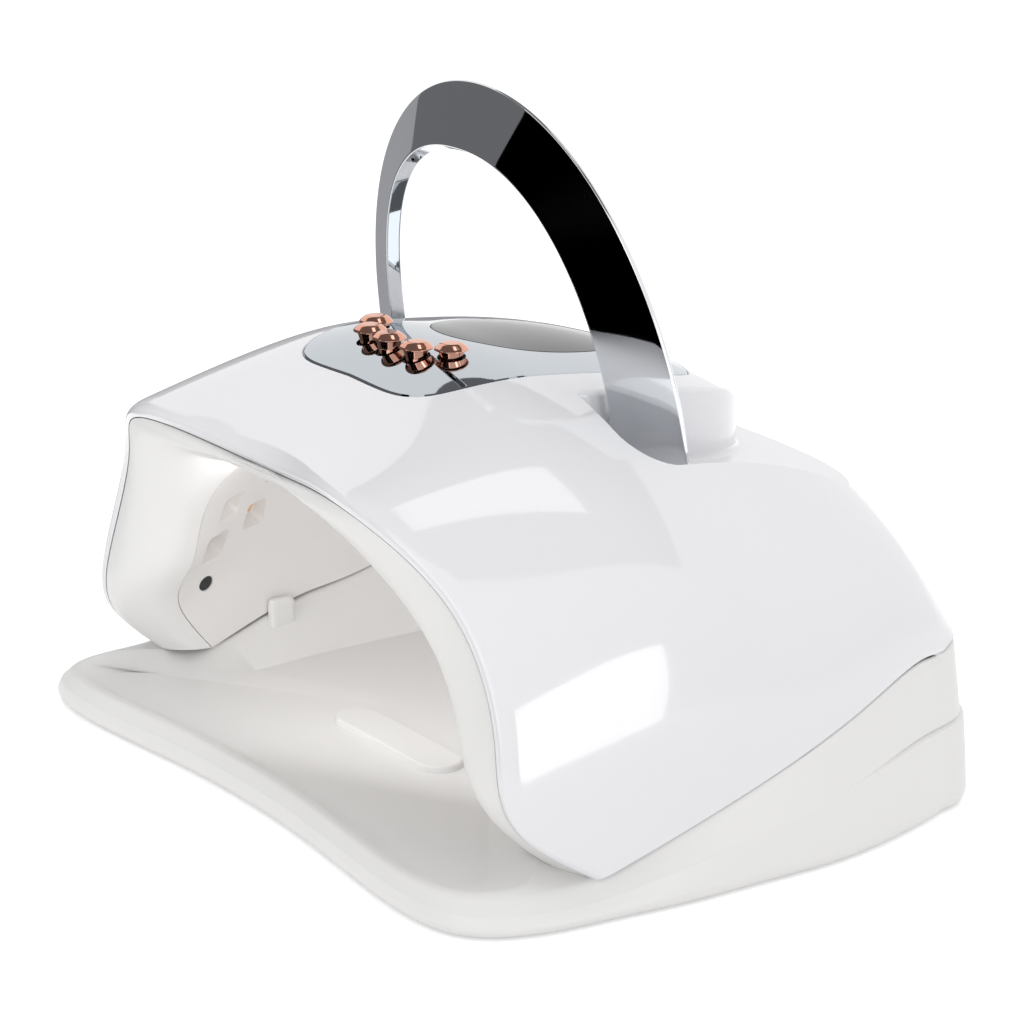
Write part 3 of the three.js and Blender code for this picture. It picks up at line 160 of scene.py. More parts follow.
# Finishes of the CAD's own parts, by the start of their names.
CAD_FINISHES = {
    "rubber_foot": "rubber", "pivot_pin": "steel", "board_screw": "steel", "hood_magnet": "steel",
    "base_magnet": "steel", "control_board": "board", "led_strip": "strip", "switch": "dark",
    "display_module": "dark", "power_inlet": "dark", "hand_sensor": "dark", "under_cover": "satin",
}

# Studio lamps: place, aim, size and power. Those in the hand cavity aren't seen in gloss.
WORLD_LIGHT = 0.74
FLOOR_LIFT = 0.42
LIGHTS = {
    "key": ((1.08, 0.03, 0.2), (0.11, 0.03, 0.06), (0.3, 0.42), 1.2),
    "window": ((0.12, 0.18, 1.1), (0.1, 0.05, 0.1), (0.4, 0.22), 0.5),
    "front": ((0.3, -1.3, 0.4), (0.0, 0, 0.05), (0.9, 0.5), 1.4),
    "top": ((0.0, 0.35, 1.7), (0, 0, 0), (1.2, 1.2), 3.8),
}
CAVITY_LIGHTS = {"cavity_fill": ((0.02, -0.06, 0.062), (-0.045, 0.06, 0.05), (0.11, 0.05), 0.034)}

# Narrow beams: place, aim, angle in degrees and power.
BEAMS = {"cavity_front": ((0.20, -0.95, 0.10), (-0.025, 0, 0.04), 8.0, 24.0)}

# Cards that only gloss and bright plating mirror: corners and tone.
CARDS = {
    "black_card": (((-0.14, -0.26, 0.012), (0.11, -0.24, 0.012), (0.11, -0.24, 0.30), (-0.14, -0.26, 0.30)), 0.0),
    "grey_card": (((-0.36, -0.03, 0.0), (-0.14, -0.262, 0.012), (-0.14, -0.262, 0.42), (-0.36, -0.03, 0.2)), 0.15),
    "pale_card": (((-0.36, 0.3, 0.0), (-0.36, -0.03, 0.0), (-0.36, -0.03, 0.2), (-0.36, 0.3, 0.05)), 0.34),
    "ceiling_card": (((-1.2, -1.2, 1.5), (1.2, -1.2, 1.5), (1.2, 1.2, 1.5), (-1.2, 1.2, 1.5)), 0.16),
}


def length(name, description, default):
    """A size in metres."""
    return FloatProperty(name=name, description=description, default=default, unit="LENGTH", precision=5)


def share(name, description, default):
    """A share of another size."""
    return FloatProperty(name=name, description=description, default=default, min=0.0, subtype="FACTOR")


def colour(name, description, default):
    """A colour in linear light."""
    return FloatVectorProperty(name=name, description=description, default=default, subtype="COLOR", min=0, max=1)


class HoodSizes(bpy.types.PropertyGroup):
    half_width: length("Half width", "Half the width of the hood's widest arch", 0.1165)
    rise: length("Rise", "Height of the crown above the table", 0.1195)
    front: length("Front", "Furthest reach of the brow towards the user", 0.081)
    back: length("Back", "Furthest reach of the rear seam", 0.095)
    wall: length("Wall", "Thickness of the moulded shell", 0.0026)
    lip_swell: length("Lip swell", "How far the front edge rounds outwards", 0.0022)
    lip_wall: length("Lip wall", "Thickness of the shell at its front edge", 0.0014)
    lip_share: share("Lip share", "Share of the depth that the rounded lip takes", 0.02)
    turns: IntProperty(name="Turns", description="Divisions from foot to foot", default=176, min=24)
    stations: IntProperty(name="Stations", description="Divisions from front to rear", default=90, min=12)
    inlet_radius: length("Inlet radius", "Radius of the opening for the power inlet", 0.00415)


class RecessSizes(bpy.types.PropertyGroup):
    boss_half_width: length("Boss half width", "Half the width of the boss between the handle's legs", 0.048)
    boss_back: length("Boss back", "Rear end of the boss", 0.070)
    boss_front: length("Boss front", "Where the boss begins to narrow", 0.002)
    boss_squareness: FloatProperty(name="Boss squareness", description="Power of the boss outline", default=2.5)
    half_width: length("Half width", "Half the width of the recess", 0.077)
    front: length("Front", "Front wall of the recess ahead of the origin", 0.006)
    corner: length("Corner", "Corner radius of the recess", 0.012)
    deck_rise: length("Deck rise", "Height of the recess floor at the middle", 0.0934)
    deck_slope: FloatProperty(name="Deck slope", description="Fall of the recess floor to the rear", default=0.14)
    edge_round: length("Edge round", "Rounding of the recess's upper edge", 0.0014)
    floor_round: length("Floor round", "Rounding where wall and floor meet", 0.0016)
    floor_wall: length("Floor wall", "Thickness of the recess floor", 0.002)


class BezelSizes(bpy.types.PropertyGroup):
    wall: length("Wall", "Thickness of the bezel", 0.0014)
    gap: length("Gap", "Gap between the bezel and the hood's front edge", 0.0003)
    swell: length("Swell", "How far the bezel swells forward", 0.005)
    swell_share: share("Swell share", "Greatest swell as a share of the bezel's width", 0.22)
    turn_back: length("Turn back", "How far the bezel turns back into the cavity", 0.007)
    roll_in: length("Roll in", "How far it rolls in as it turns back", 0.0012)
    evenings: IntProperty(name="Evenings", description="How often its section is evened out", default=10, min=0)


class LinerSizes(bpy.types.PropertyGroup):
    wall: length("Wall", "Thickness of the liner", 0.0018)
    pocket_depth: length("Pocket depth", "Depth of a light pocket", 0.005)
    pocket_length: length("Pocket length", "Length of the flat behind a chip", 0.006)
    pocket_width: length("Pocket width", "Width of the flat behind a chip", 0.007)
    mouth_share: FloatProperty(name="Mouth", description="Mouth of a pocket over its flat", default=1.9, min=1.0)
    pocket_wall: length("Pocket wall", "Thickness of a pocket's wall", 0.0012)
    overlap: length("Overlap", "How far a pocket starts inside the liner's face", 0.0025)
    chip: length("Chip", "Side of a light chip", 0.004)
    chip_height: length("Chip height", "Height of a chip's body", 0.001)
    chip_room: length("Chip room", "Room round a chip in its slot", 0.0002)
    lens_share: share("Lens", "Radius of a chip's lens as a share of its side", 0.42)
    window_radius: length("Sensor window", "Radius of the hand sensor's window", 0.00255)
    window_depth: length("Sensor depth", "Sensor window ahead of the origin", 0.045)


class PanelSizes(bpy.types.PropertyGroup):
    half_width: length("Half width", "Half the width of the mirror panel", 0.038)
    front: length("Front", "Reach of the panel's front corners", 0.049)
    back: length("Back", "Reach of the panel's rear end", 0.049)
    wall: length("Wall", "Thickness of the panel", 0.0012)
    seat: length("Seat", "Depth of the seat in the hood", 0.0014)
    bevel: length("Bevel", "Width of the panel's ground edge", 0.0004)
    gap: length("Gap", "Gap round the panel", 0.00015)
    seat_edge: length("Seat edge", "Width of the flared edge of the panel's seat", 0.00035)
    window_edge: length("Window edge", "Width of the flared edge of the panel's window", 0.0002)
    pane_edge: length("Pane edge", "Width of the ground edge of the display window", 0.0003)
    display_half_width: length("Display half width", "Half the width of the display window", 0.0225)
    display_half_length: length("Display half length", "Half the length of the display window", 0.027)
    display_depth: length("Display depth", "Middle of the display behind the origin", 0.010)


class ButtonSizes(bpy.types.PropertyGroup):
    spread: length("Spread", "Furthest button from the middle plane", 0.0185)
    reach: length("Reach", "Middle button ahead of the origin", 0.034)
    head_radius: length("Head radius", "Radius of a button's widest ring", 0.00465)
    neck_radius: length("Neck radius", "Radius of a button where it goes through the panel", 0.0036)
    stem_radius: length("Stem radius", "Radius of a button's stem", 0.0026)
    gap: length("Gap", "Gap round a button in the panel", 0.00025)
    rounding: length("Rounding", "Rounding of a button's rings", 0.00030)
    sides: IntProperty(name="Sides", description="Divisions round a button", default=64, min=12)


class HandleSizes(bpy.types.PropertyGroup):
    inner_half_width: length("Inner half width", "Half the width of the handle's front edge", 0.0523)
    inner_rise: length("Inner rise", "Rise of the front edge above the feet", 0.0736)
    outer_half_width: length("Outer half width", "Half the width of the rear edge", 0.0729)
    outer_rise: length("Outer rise", "Rise of the rear edge above the feet", 0.0908)
    foot_rise: length("Foot rise", "Height where the legs start to round off", 0.0988)
    inner_squareness: FloatProperty(name="Inner squareness", description="Power of the front edge", default=2.29)
    outer_squareness: FloatProperty(name="Outer squareness", description="Power of the rear edge", default=2.05)
    inner_depth: length("Inner depth", "Depth of the front edge at the feet", 0.0022)
    outer_depth: length("Outer depth", "Depth of the rear edge at the feet", 0.0111)
    inner_lean: length("Inner lean", "How far the front edge leans forward", 0.0148)
    outer_lean: length("Outer lean", "How far the rear edge leans forward", 0.0167)
    wall: length("Wall", "Thickness of the handle", 0.0042)
    edge_share: share("Edge share", "Thickness at the rear edge as a share of the wall", 0.4)
    rounding: length("Rounding", "Rounding of the handle's edges", 0.0006)
    foot_drop: length("Foot drop", "How far the rounded feet hang down", 0.0046)
    foot_span: FloatProperty(name="Foot span", description="Angle over which the feet round off", default=0.16)
    pivot_depth: length("Pivot depth", "Pivot behind the origin", 0.007)
    pivot_rise: length("Pivot rise", "Height of the pivot", 0.103)
    lug_radius: length("Lug radius", "Radius of the hub behind a foot", 0.0046)
    lug_reach: length("Lug reach", "Length of the hub", 0.014)


class BaseSizes(bpy.types.PropertyGroup):
    front: length("Front", "Furthest reach of the front edge", 0.088)
    half_width: length("Half width", "Half the width at the hood's feet", 0.120)
    bottom: length("Bottom", "Underside above the table", 0.0008)
    edge: length("Edge", "Height of the rounded lower edge", 0.0022)
    wall: length("Wall", "Thickness of the plate", 0.0028)
    lip_rise: length("Lip rise", "Height of the front lip", 0.010)
    floor: length("Floor", "Height of the dished floor", 0.0075)
    floor_wall: length("Floor wall", "Thickness of the floor", 0.0024)
    flare_foot: length("Flare at the foot", "How far the base stands out at the hood's feet", 0.0083)
    flare_side: length("Flare at the side", "How far the base stands out at the sides", 0.005)
    flare_fade: length("Flare fade", "Length over which the flare fades", 0.06)
    swell_fade: length("Swell fade", "Length over which the edge swells out with the hood", 0.03)
    lip_inset: length("Lip inset", "Lip behind the front edge", 0.003)
    lip_width: length("Lip width", "Width of the lip", 0.0025)
    lip_slope: length("Lip slope", "Width of the slope inside the lip", 0.006)
    wall_slope: length("Wall slope", "Width of the slope inside the walls", 0.012)
    front_fade: FloatProperty(name="Front fade", description="Turn over which the lip rises to the walls", default=0.5)
    rest_fade: FloatProperty(name="Rest fade", description="Turn over which the rest below the bezel ends",
                             default=0.14)
    crease: length("Crease", "Depth of the crease in the flank", 0.0008)
    crease_start: length("Crease start", "Distance from the foot at which the crease begins", 0.075)
    crease_fade: length("Crease fade", "Length over which the crease deepens", 0.035)
    seat_gap: length("Seat gap", "Gap between the hood and the base", 0.0003)
    liner_seat: length("Liner seat", "Extra gap below the liner", 0.0006)
    rest_half_length: length("Rest half length", "Half the length of the finger rest", 0.027)
    rest_half_width: length("Rest half width", "Half the width of the finger rest", 0.0065)
    rest_depth: length("Rest depth", "Finger rest ahead of the origin", 0.0325)
    rest_height: length("Rest height", "Height of the finger rest", 0.002)
    tab_depth: length("Tab depth", "Locating tabs ahead of the origin", 0.019)
    tab_inset: length("Tab inset", "Middle of a tab inside the liner's foot", 0.0022)
    foot_front: length("Front foot", "Front rubber feet ahead of the origin", 0.060)
    foot_gap: length("Foot gap", "Gap round a rubber foot", 0.00015)


class LampColours(bpy.types.PropertyGroup):
    gloss: colour("Gloss white", "Glossy hood", (0.82, 0.82, 0.845))
    satin: colour("Satin white", "Bezel and base plate", (0.83, 0.825, 0.815))
    liner: colour("Liner white", "Liner of the hand cavity", (0.86, 0.84, 0.83))
    bright: colour("Bright plating", "Handle", (0.80, 0.82, 0.84))
    mirror: colour("Tinted mirror", "Control panel", (0.55, 0.585, 0.62))
    display: colour("Display grey", "Display window", (0.03, 0.03, 0.034))
    copper: colour("Rose gold", "Push buttons", (0.80, 0.41, 0.30))
    chip: colour("Chip amber", "Phosphor of the light chips", (0.93, 0.42, 0.13))
    rubber: colour("Rubber", "Feet", (0.05, 0.05, 0.052))
    steel: colour("Steel", "Pins, screws and magnets", (0.55, 0.56, 0.57))
    board: colour("Board green", "Control board", (0.03, 0.16, 0.07))
    strip: colour("Strip white", "Strips that carry the chips", (0.75, 0.75, 0.72))
    dark: colour("Black plastic", "Switches, inlet and sensors", (0.02, 0.02, 0.022))


class StageSizes(bpy.types.PropertyGroup):
    camera_place: FloatVectorProperty(
        name="Camera", description="Place of the camera", default=(0.7509, -0.5202, 0.3506), subtype="TRANSLATION")
    camera_aim: FloatVectorProperty(
        name="Aim", description="Point that the camera looks at", default=(0.0231, -0.01644, 0.07643),
        subtype="TRANSLATION")
    lens: FloatProperty(name="Lens", description="Focal length in millimetres", default=120.8)
    floor_size: length("Floor", "Side of the floor", 12.0)


GROUPS = {
    "lamp_hood": HoodSizes,
    "lamp_recess": RecessSizes,
    "lamp_bezel": BezelSizes,
    "lamp_liner": LinerSizes,
    "lamp_panel": PanelSizes,
    "lamp_buttons": ButtonSizes,
    "lamp_handle": HandleSizes,
    "lamp_base": BaseSizes,
    "lamp_colours": LampColours,
    "lamp_stage": StageSizes,
}


# Curves and skins

def spline_weights(knots, at):
    """Weights that turn values at the knots into a smooth curve's values at the given places."""
    knots = np.asarray(knots, float)
    at = np.atleast_1d(np.asarray(at, float))
    count = len(knots)
    spans = np.diff(knots)
    bends = np.eye(count)
    loads = np.zeros((count, count))
    for i in range(1, count - 1):
        bends[i, i - 1:i + 2] = (spans[i - 1], 2 * (spans[i - 1] + spans[i]), spans[i])
        loads[i, i - 1:i + 2] = (6 / spans[i - 1], -6 / spans[i - 1] - 6 / spans[i], 6 / spans[i])
    bends = np.linalg.solve(bends, loads)
    i = np.clip(np.searchsorted(knots, at, side="right") - 1, 0, count - 2)
    span = spans[i]
    far = (at - knots[i]) / span
    near = 1 - far
    identity = np.eye(count)
    pull = ((near ** 3 - near)[:, None] * bends[i] + (far ** 3 - far)[:, None] * bends[i + 1]) * (span ** 2)[:, None]
    return near[:, None] * identity[i] + far[:, None] * identity[i + 1] + pull / 6


def mirrored_edge(turns, half_turns, across, reach, rise):
    """Points of an edge that is given by its right half."""
    def whole(values, sign=1):
        return np.array(list(values) + [sign * v for v in values[-2::-1]])

    knots = list(half_turns) + [2 - v for v in half_turns[-2::-1]]
    weights = spline_weights(knots, turns)
    return np.stack([weights @ whole(across, -1), weights @ whole(reach), weights @ whole(rise)], axis=-1)


def signed_power(value, power):
    """A power of the size of a value that keeps its sign."""
    return np.sign(value) * np.abs(value) ** power


def arch_points(turns, hood, arches):
    """One row of points for each leaning arch, from the right foot over the top to the left foot."""
    def depth(value):
        return value * (hood.front if value < 0 else hood.back)

    angle = np.asarray(turns) * math.pi / 2
    rows = []
    for i, squareness in enumerate(arches["squareness"]):
        height = np.abs(np.sin(angle)) ** (2 / squareness)
        foot_y, top_y = depth(arches["foot_depth"][i]), depth(arches["top_depth"][i])
        foot_z, top_z = (arches[key][i] * hood.rise for key in ("foot_rise", "top_rise"))
        x = arches["half_width"][i] * hood.half_width * signed_power(np.cos(angle), 2 / squareness)
        rows.append(np.stack([x, foot_y + (top_y - foot_y) * height, foot_z + (top_z - foot_z) * height], axis=-1))
    return rows


def rim_points(turns, hood):
    """Points of the hood's front edge."""
    return mirrored_edge(
        turns, RIM_TURNS,
        [v * hood.half_width for v in RIM_ACROSS], [-v * hood.front for v in RIM_REACH],
        [v * hood.rise for v in RIM_RISE])


def mouth_points(turns, hood):
    """Points of the edge where the bezel turns into the cavity."""
    return mirrored_edge(
        turns, RIM_TURNS,
        [v * hood.half_width for v in MOUTH_ACROSS], [-v * hood.front for v in MOUTH_REACH],
        [v * hood.rise for v in MOUTH_RISE])


def skin_grid(turns, stations, edge, arches, hood):
    """Grid of points, turn by station, through the front edge and the arches behind it."""
    rails = np.stack([edge] + arch_points(turns, hood, arches), axis=1)
    return np.einsum("sk,tkc->tsc", spline_weights(ARCH_STATIONS, stations), rails)


def hood_grid(turns, stations, hood):
    """Grid of points on the hood's skin before its lip is rounded."""
    return skin_grid(turns, stations, rim_points(turns, hood), HOOD_ARCHES, hood)


def liner_grid(turns, stations):
    """Grid of points on the liner's face."""
    hood = bpy.context.scene.lamp_hood
    bezel = bpy.context.scene.lamp_bezel
    seat_gap = bpy.context.scene.lamp_base.seat_gap
    edge = mouth_roll(turns, 1.0, hood, bezel) + np.array([0, seat_gap, 0])
    return skin_grid(turns, stations, edge, LINER_ARCHES, hood)


def mouth_roll(turns, part, hood, bezel):
    """Points of the bezel where it has turned back by a part of its way into the cavity."""
    edge = mouth_points(turns, hood)
    inward = -edge * np.array([1, 0, 1])
    inward /= np.linalg.norm(inward, axis=-1, keepdims=True)
    back = np.array([0, bezel.turn_back * part, 0])
    return edge + back + inward * bezel.roll_in * math.sin(math.pi / 2 * part)


def grid_normals(points):
    """Directions square to a grid of points, taken from the facets round each point."""
    across = points[1:, :-1] - points[:-1, 1:]
    along = points[1:, 1:] - points[:-1, :-1]
    facets = np.cross(along, across)
    normals = np.zeros_like(points)
    for rows in (slice(0, -1), slice(1, None)):
        for columns in (slice(0, -1), slice(1, None)):
            normals[rows, columns] += facets
    return normals / np.linalg.norm(normals, axis=-1, keepdims=True)


def smooth_share(value):
    """A share that starts and ends without a kink."""
    value = np.clip(value, 0, 1)
    return value ** 2 * (3 - 2 * value)


class HoodSkin:
    """The hood's outer skin as a fine grid, with its normals and its height over the table."""

    def __init__(self, hood):
        self.hood = hood
        lip = [v * hood.lip_share for v in LIP_STATIONS]
        self.stations = np.array(lip + list(np.linspace(hood.lip_share, 1, hood.stations + 1)[1:]))
        self.turns = np.linspace(0, 2, hood.turns + 1)
        self.basic = hood_grid(self.turns, self.stations, hood)
        self.normals = grid_normals(self.basic)
        self.lip_part = np.clip(self.stations / hood.lip_share, 0, 1)
        self.swell = hood.lip_swell * np.sqrt(1 - (1 - self.lip_part) ** 2)
        self.outer = self.layer(0)
        wall = hood.lip_wall + (hood.wall - hood.lip_wall) * self.lip_part
        self.inner = self.basic + self.normals * (hood.lip_swell * self.lip_part - wall)[None, :, None]
        self.tree = BVHTree.FromPolygons(*grid_faces(self.outer))

    def layer(self, depth):
        """The skin moved inwards by a depth, with the rounded lip kept."""
        return self.basic + self.normals * (self.swell - depth)[None, :, None]

    def crown(self, depth):
        """The part of a layer that lies over the crown, where the panel and the recess are."""
        quarter = len(self.turns) // 4
        return self.layer(depth)[quarter:-quarter, 4:-8]

    def heights(self, loop, beside=0.0):
        """Heights of the skin over the points of a plan, with a given height beside it."""
        hits = [self.tree.ray_cast(Vector((x, y, 1.0)), Vector((0, 0, -1)))[0] for x, y in loop]
        return np.array([beside if hit is None else hit.z for hit in hits])


def grid_faces(grid):
    """The points of a grid, and its facets."""
    rows, columns = grid.shape[:2]
    index = np.arange(rows * columns).reshape(rows, columns)
    faces = np.stack([index[:-1, :-1], index[:-1, 1:], index[1:, 1:], index[1:, :-1]], axis=-1).reshape(-1, 4)
    return [Vector(p) for p in grid.reshape(-1, 3)], faces.tolist()


# Meshes

def mesh_object(name, points, faces):
    """A mesh object at the origin whose faces look outwards."""
    mesh = bpy.data.meshes.new(name)
    mesh.from_pydata([tuple(p) for p in points], [], [tuple(f) for f in faces])
    work = bmesh.new()
    work.from_mesh(mesh)
    if work.calc_volume(signed=True) < 0:
        bmesh.ops.reverse_faces(work, faces=work.faces[:])
    work.to_mesh(mesh)
    work.free()
    mesh.update()
    obj = bpy.data.objects.new(name, mesh)
    bpy.context.scene.collection.objects.link(obj)
    return obj


def body_between(name, outer, inner):
    """Closed body between two grids of points."""
    rows, columns = outer.shape[:2]
    points = np.concatenate([outer.reshape(-1, 3), inner.reshape(-1, 3)])
    index = np.arange(2 * rows * columns).reshape(2, rows, columns)
    top, low = index

    def quads(a, b, c, d):
        return np.stack([a, b, c, d], axis=-1).reshape(-1, 4)

    faces = np.concatenate([
        quads(top[:-1, :-1], top[:-1, 1:], top[1:, 1:], top[1:, :-1]),
        quads(low[:-1, :-1], low[1:, :-1], low[1:, 1:], low[:-1, 1:]),
        quads(top[:-1, 0], top[1:, 0], low[1:, 0], low[:-1, 0]),
        quads(top[:-1, -1], low[:-1, -1], low[1:, -1], top[1:, -1]),
        quads(top[0, :-1], low[0, :-1], low[0, 1:], top[0, 1:]),
        quads(top[-1, :-1], top[-1, 1:], low[-1, 1:], low[-1, :-1]),
    ])
    return mesh_object(name, points, faces)


def body_of_rings(name, rings, tips=None):
    """Closed body from rings of points. Each end has a flat cap, or a fan of faces to its tip."""
    rings = np.asarray(rings)
    count, size = rings.shape[:2]
    index = np.arange(count * size).reshape(count, size)
    after = np.roll(index, -1, axis=1)
    faces = np.stack([index[:-1], after[:-1], after[1:], index[1:]], axis=-1).reshape(-1, 4).tolist()
    points = rings.reshape(-1, 3)
    if tips is None:
        faces += [index[0][::-1].tolist(), index[-1].tolist()]
    else:
        first, last = count * size, count * size + 1
        faces += [(int(b), int(a), first) for a, b in zip(index[0], after[0])]
        faces += [(int(a), int(b), last) for a, b in zip(index[-1], after[-1])]
        points = np.concatenate([points, tips])
    return mesh_object(name, points, faces)


def combine(target, other, how):
    """Joins another body to the target, cuts it away, or keeps what both share. The other body is used up."""
    modifier = target.modifiers.new("shape", "BOOLEAN")
    modifier.operation = how
    modifier.solver = "MANIFOLD"
    modifier.object = other
    settle(target)
    bpy.data.objects.remove(other, do_unlink=True)


def settle(obj):
    """Makes the object's modifiers part of its mesh."""
    graph = bpy.context.evaluated_depsgraph_get()
    graph.update()
    mesh = bpy.data.meshes.new_from_object(obj.evaluated_get(graph), depsgraph=graph)
    obj.modifiers.clear()
    obj.data = mesh


def smooth_sides(obj, angle=math.radians(32)):
    """Smooth shading that keeps edges sharper than the angle, weighted by the size of the faces."""
    mesh = obj.data
    mesh.polygons.foreach_set("use_smooth", [True] * len(mesh.polygons))
    work = bmesh.new()
    work.from_mesh(mesh)
    for edge in work.edges:
        edge.smooth = edge.is_manifold and edge.calc_face_angle(0) < angle
    work.to_mesh(mesh)
    work.free()
    modifier = obj.modifiers.new("even light", "WEIGHTED_NORMAL")
    modifier.keep_sharp = True
    modifier.weight = 100
    settle(obj)


def offset_loop(loop, grow):
    """A closed loop of plan points moved outwards."""
    along = np.roll(loop, -1, axis=0) - np.roll(loop, 1, axis=0)
    along /= np.linalg.norm(along, axis=1, keepdims=True)
    grow = np.broadcast_to(grow, len(loop))[:, None]
    return loop + np.stack([along[:, 1], -along[:, 0]], axis=1) * grow


def even_loop(points, step):
    """A closed loop of plan points with about the same step everywhere, corners kept."""
    result = []
    points = np.asarray(points)
    for a, b in zip(points, np.roll(points, -1, axis=0)):
        count = max(1, int(round(np.linalg.norm(b - a) / step)))
        result.extend(a + (b - a) * k / count for k in range(count))
    return np.array(result)


def circle(count):
    """Points round a circle of radius one."""
    angle = np.linspace(0, 2 * math.pi, count, endpoint=False)
    return np.column_stack([np.cos(angle), np.sin(angle)])


def plan_ring(loop, heights):
    """A ring in space over a plan loop."""
    return np.column_stack([loop, np.broadcast_to(heights, len(loop))])


# Outlines in plan

def recess_loop(recess, hood):
    """Outline of the recess that takes the folded handle, round the boss that stands in it."""
    angles = np.linspace(0, math.pi, 60)
    reach = recess.boss_back - recess.boss_front
    boss = np.column_stack([
        recess.boss_half_width * signed_power(np.cos(angles), 2 / recess.boss_squareness),
        recess.boss_front + reach * np.sin(angles) ** (2 / recess.boss_squareness),
    ])
    bend = np.linspace(0, math.pi / 2, 9)
    corner = np.column_stack([
        recess.half_width - recess.corner + recess.corner * np.cos(bend),
        -recess.front + recess.corner - recess.corner * np.sin(bend),
    ])
    back = hood.back + 4 * MM
    right = [(recess.half_width, back), *corner, (recess.boss_half_width, -recess.front)]
    left = [(-x, y) for x, y in right[::-1]]
    return even_loop([*right, *boss, *left], 1.2 * MM)[::-1]


def in_recess(x, y, recess, grow):
    """Whether plan points lie in the recess grown by a margin."""
    beyond = np.clip((y - recess.boss_front) / (recess.boss_back - recess.boss_front - grow), 0, None)
    across = np.abs(x) / (recess.boss_half_width - grow)
    on_boss = across ** recess.boss_squareness + beyond ** recess.boss_squareness < 1
    return (np.abs(x) < recess.half_width + grow) & (y > -recess.front - grow) & ~on_boss


def panel_loop(panel):
    """Outline of the control panel in plan."""
    steps = np.arange(len(PANEL_ACROSS))
    weights = spline_weights(steps, np.linspace(0, len(PANEL_ACROSS) - 1, 150))
    reach = [v * (panel.front if v < 0 else panel.back) for v in PANEL_REACH]
    half = np.column_stack([weights @ np.array(PANEL_ACROSS) * panel.half_width, weights @ np.array(reach)])
    half[[0, -1], 0] = 0
    return np.concatenate([half, half[-2:0:-1] * (-1, 1)])


def oval_loop(half_width, half_length, depth, count=120):
    """Outline of the display window in plan."""
    return circle(count) * (half_width, half_length) + (0, depth)


def upright(name, loop, skin, grow, edge):
    """A body on a plan outline that bevels a top edge where it meets the skin; a negative edge flares outwards."""
    reach = 3 * MM
    base = offset_loop(loop, grow)
    inner = offset_loop(loop, grow - edge)
    far = offset_loop(loop, grow - edge - math.copysign(reach, edge))
    return body_of_rings(name, [
        plan_ring(base, UNDER_CROWN),
        plan_ring(base, skin.heights(base, BESIDE_SKIN) - abs(edge)),
        plan_ring(inner, skin.heights(inner, BESIDE_SKIN) + 0.02 * MM),
        plan_ring(far, skin.heights(far, BESIDE_SKIN) + reach),
        plan_ring(far, OVER_LAMP),
    ])


def recess_cutter(name, skin, recess):
    """The hollow of the recess, with rounded edges above and below its walls."""
    loop = recess_loop(recess, skin.hood)
    deck = recess.deck_rise - recess.deck_slope * loop[:, 1]
    least = 0.5 * MM
    room = np.clip(skin.heights(loop) - deck, least, None)
    low = np.minimum(recess.floor_round, 0.4 * room)
    high = np.minimum(recess.edge_round, 0.4 * room)
    rings = []
    for angle in np.radians((0, 22, 45, 68, 90)):
        ring = offset_loop(loop, -low * (1 - math.sin(angle)))
        plane = recess.deck_rise - recess.deck_slope * ring[:, 1]
        rings.append(plan_ring(ring, plane + low * (1 - math.cos(angle))))
    for angle in np.radians((0, 20, 40, 58, 72)):
        ring = offset_loop(loop, high * (1 - math.cos(angle)))
        top = np.maximum(skin.heights(ring), deck + least)
        rings.append(plan_ring(ring, top - high * (1 - math.sin(angle))))
    ring = offset_loop(loop, high + 2.5 * MM)
    top = np.maximum(skin.heights(ring), deck + least)
    rings.append(plan_ring(ring, top + 1.2 * MM))
    rings.append(plan_ring(ring, OVER_LAMP))
    return body_of_rings(name, rings)


def cylinder(name, place, radius, low, high, axis=2, count=48):
    """A round cutter between two levels along an axis through a place."""
    across = [k for k in range(3) if k != axis]
    rings = np.empty((2, count, 3))
    rings[..., across] = np.take(place, across) + circle(count) * radius
    rings[..., axis] = np.array([[low], [high]])
    return body_of_rings(name, rings)


def button_holes(target, buttons):
    """Cuts the holes of the buttons into the hood or the panel."""
    for x, y in button_spots(buttons):
        hole = cylinder("hole", (x, y, 0), buttons.neck_radius + buttons.gap, UNDER_PANEL, OVER_LAMP)
        combine(target, hole, "DIFFERENCE")


def button_spots(buttons):
    """The middles of the buttons in plan."""
    return [(a * buttons.spread, -r * buttons.reach) for a, r in zip(BUTTON_ACROSS, BUTTON_REACH)]


def finish_piece(obj, body, slot, look, *nodes):
    """Moves the piece to the frame's middle, gives it its finish and lets it stand for its CAD nodes."""
    obj.data.transform(Matrix.Translation((0, middle_shift(), 0)))
    obj.data.materials.clear()
    obj.data.materials.append(finishes()[look])
    for polygon in obj.data.polygons:
        polygon.material_index = 0
    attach(obj, body)
    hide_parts(*nodes)


def middle_shift():
    """How far the frame's origin lies behind the point that the sizes are taken from."""
    low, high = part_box("rubber_foot_1")
    return (low[1] + high[1]) / 2 + bpy.context.scene.lamp_base.foot_front


# Finishes

def add_node(tree, kind, **inputs):
    """A new node of a tree with its inputs set or linked; an underscore stands for a space in their names."""
    node = tree.nodes.new(kind)
    feed(tree, node, **inputs)
    return node


def feed(tree, node, **inputs):
    """Sets a node's inputs to values, or links them to the outputs of other nodes."""
    for name, value in inputs.items():
        socket = node.inputs[name.replace("_", " ")]
        if isinstance(value, bpy.types.NodeSocket):
            tree.links.new(value, socket)
        else:
            socket.default_value = value


def new_material(name):
    """A new material and its node tree."""
    material = bpy.data.materials.new(name)
    material.use_nodes = True
    return material, material.node_tree


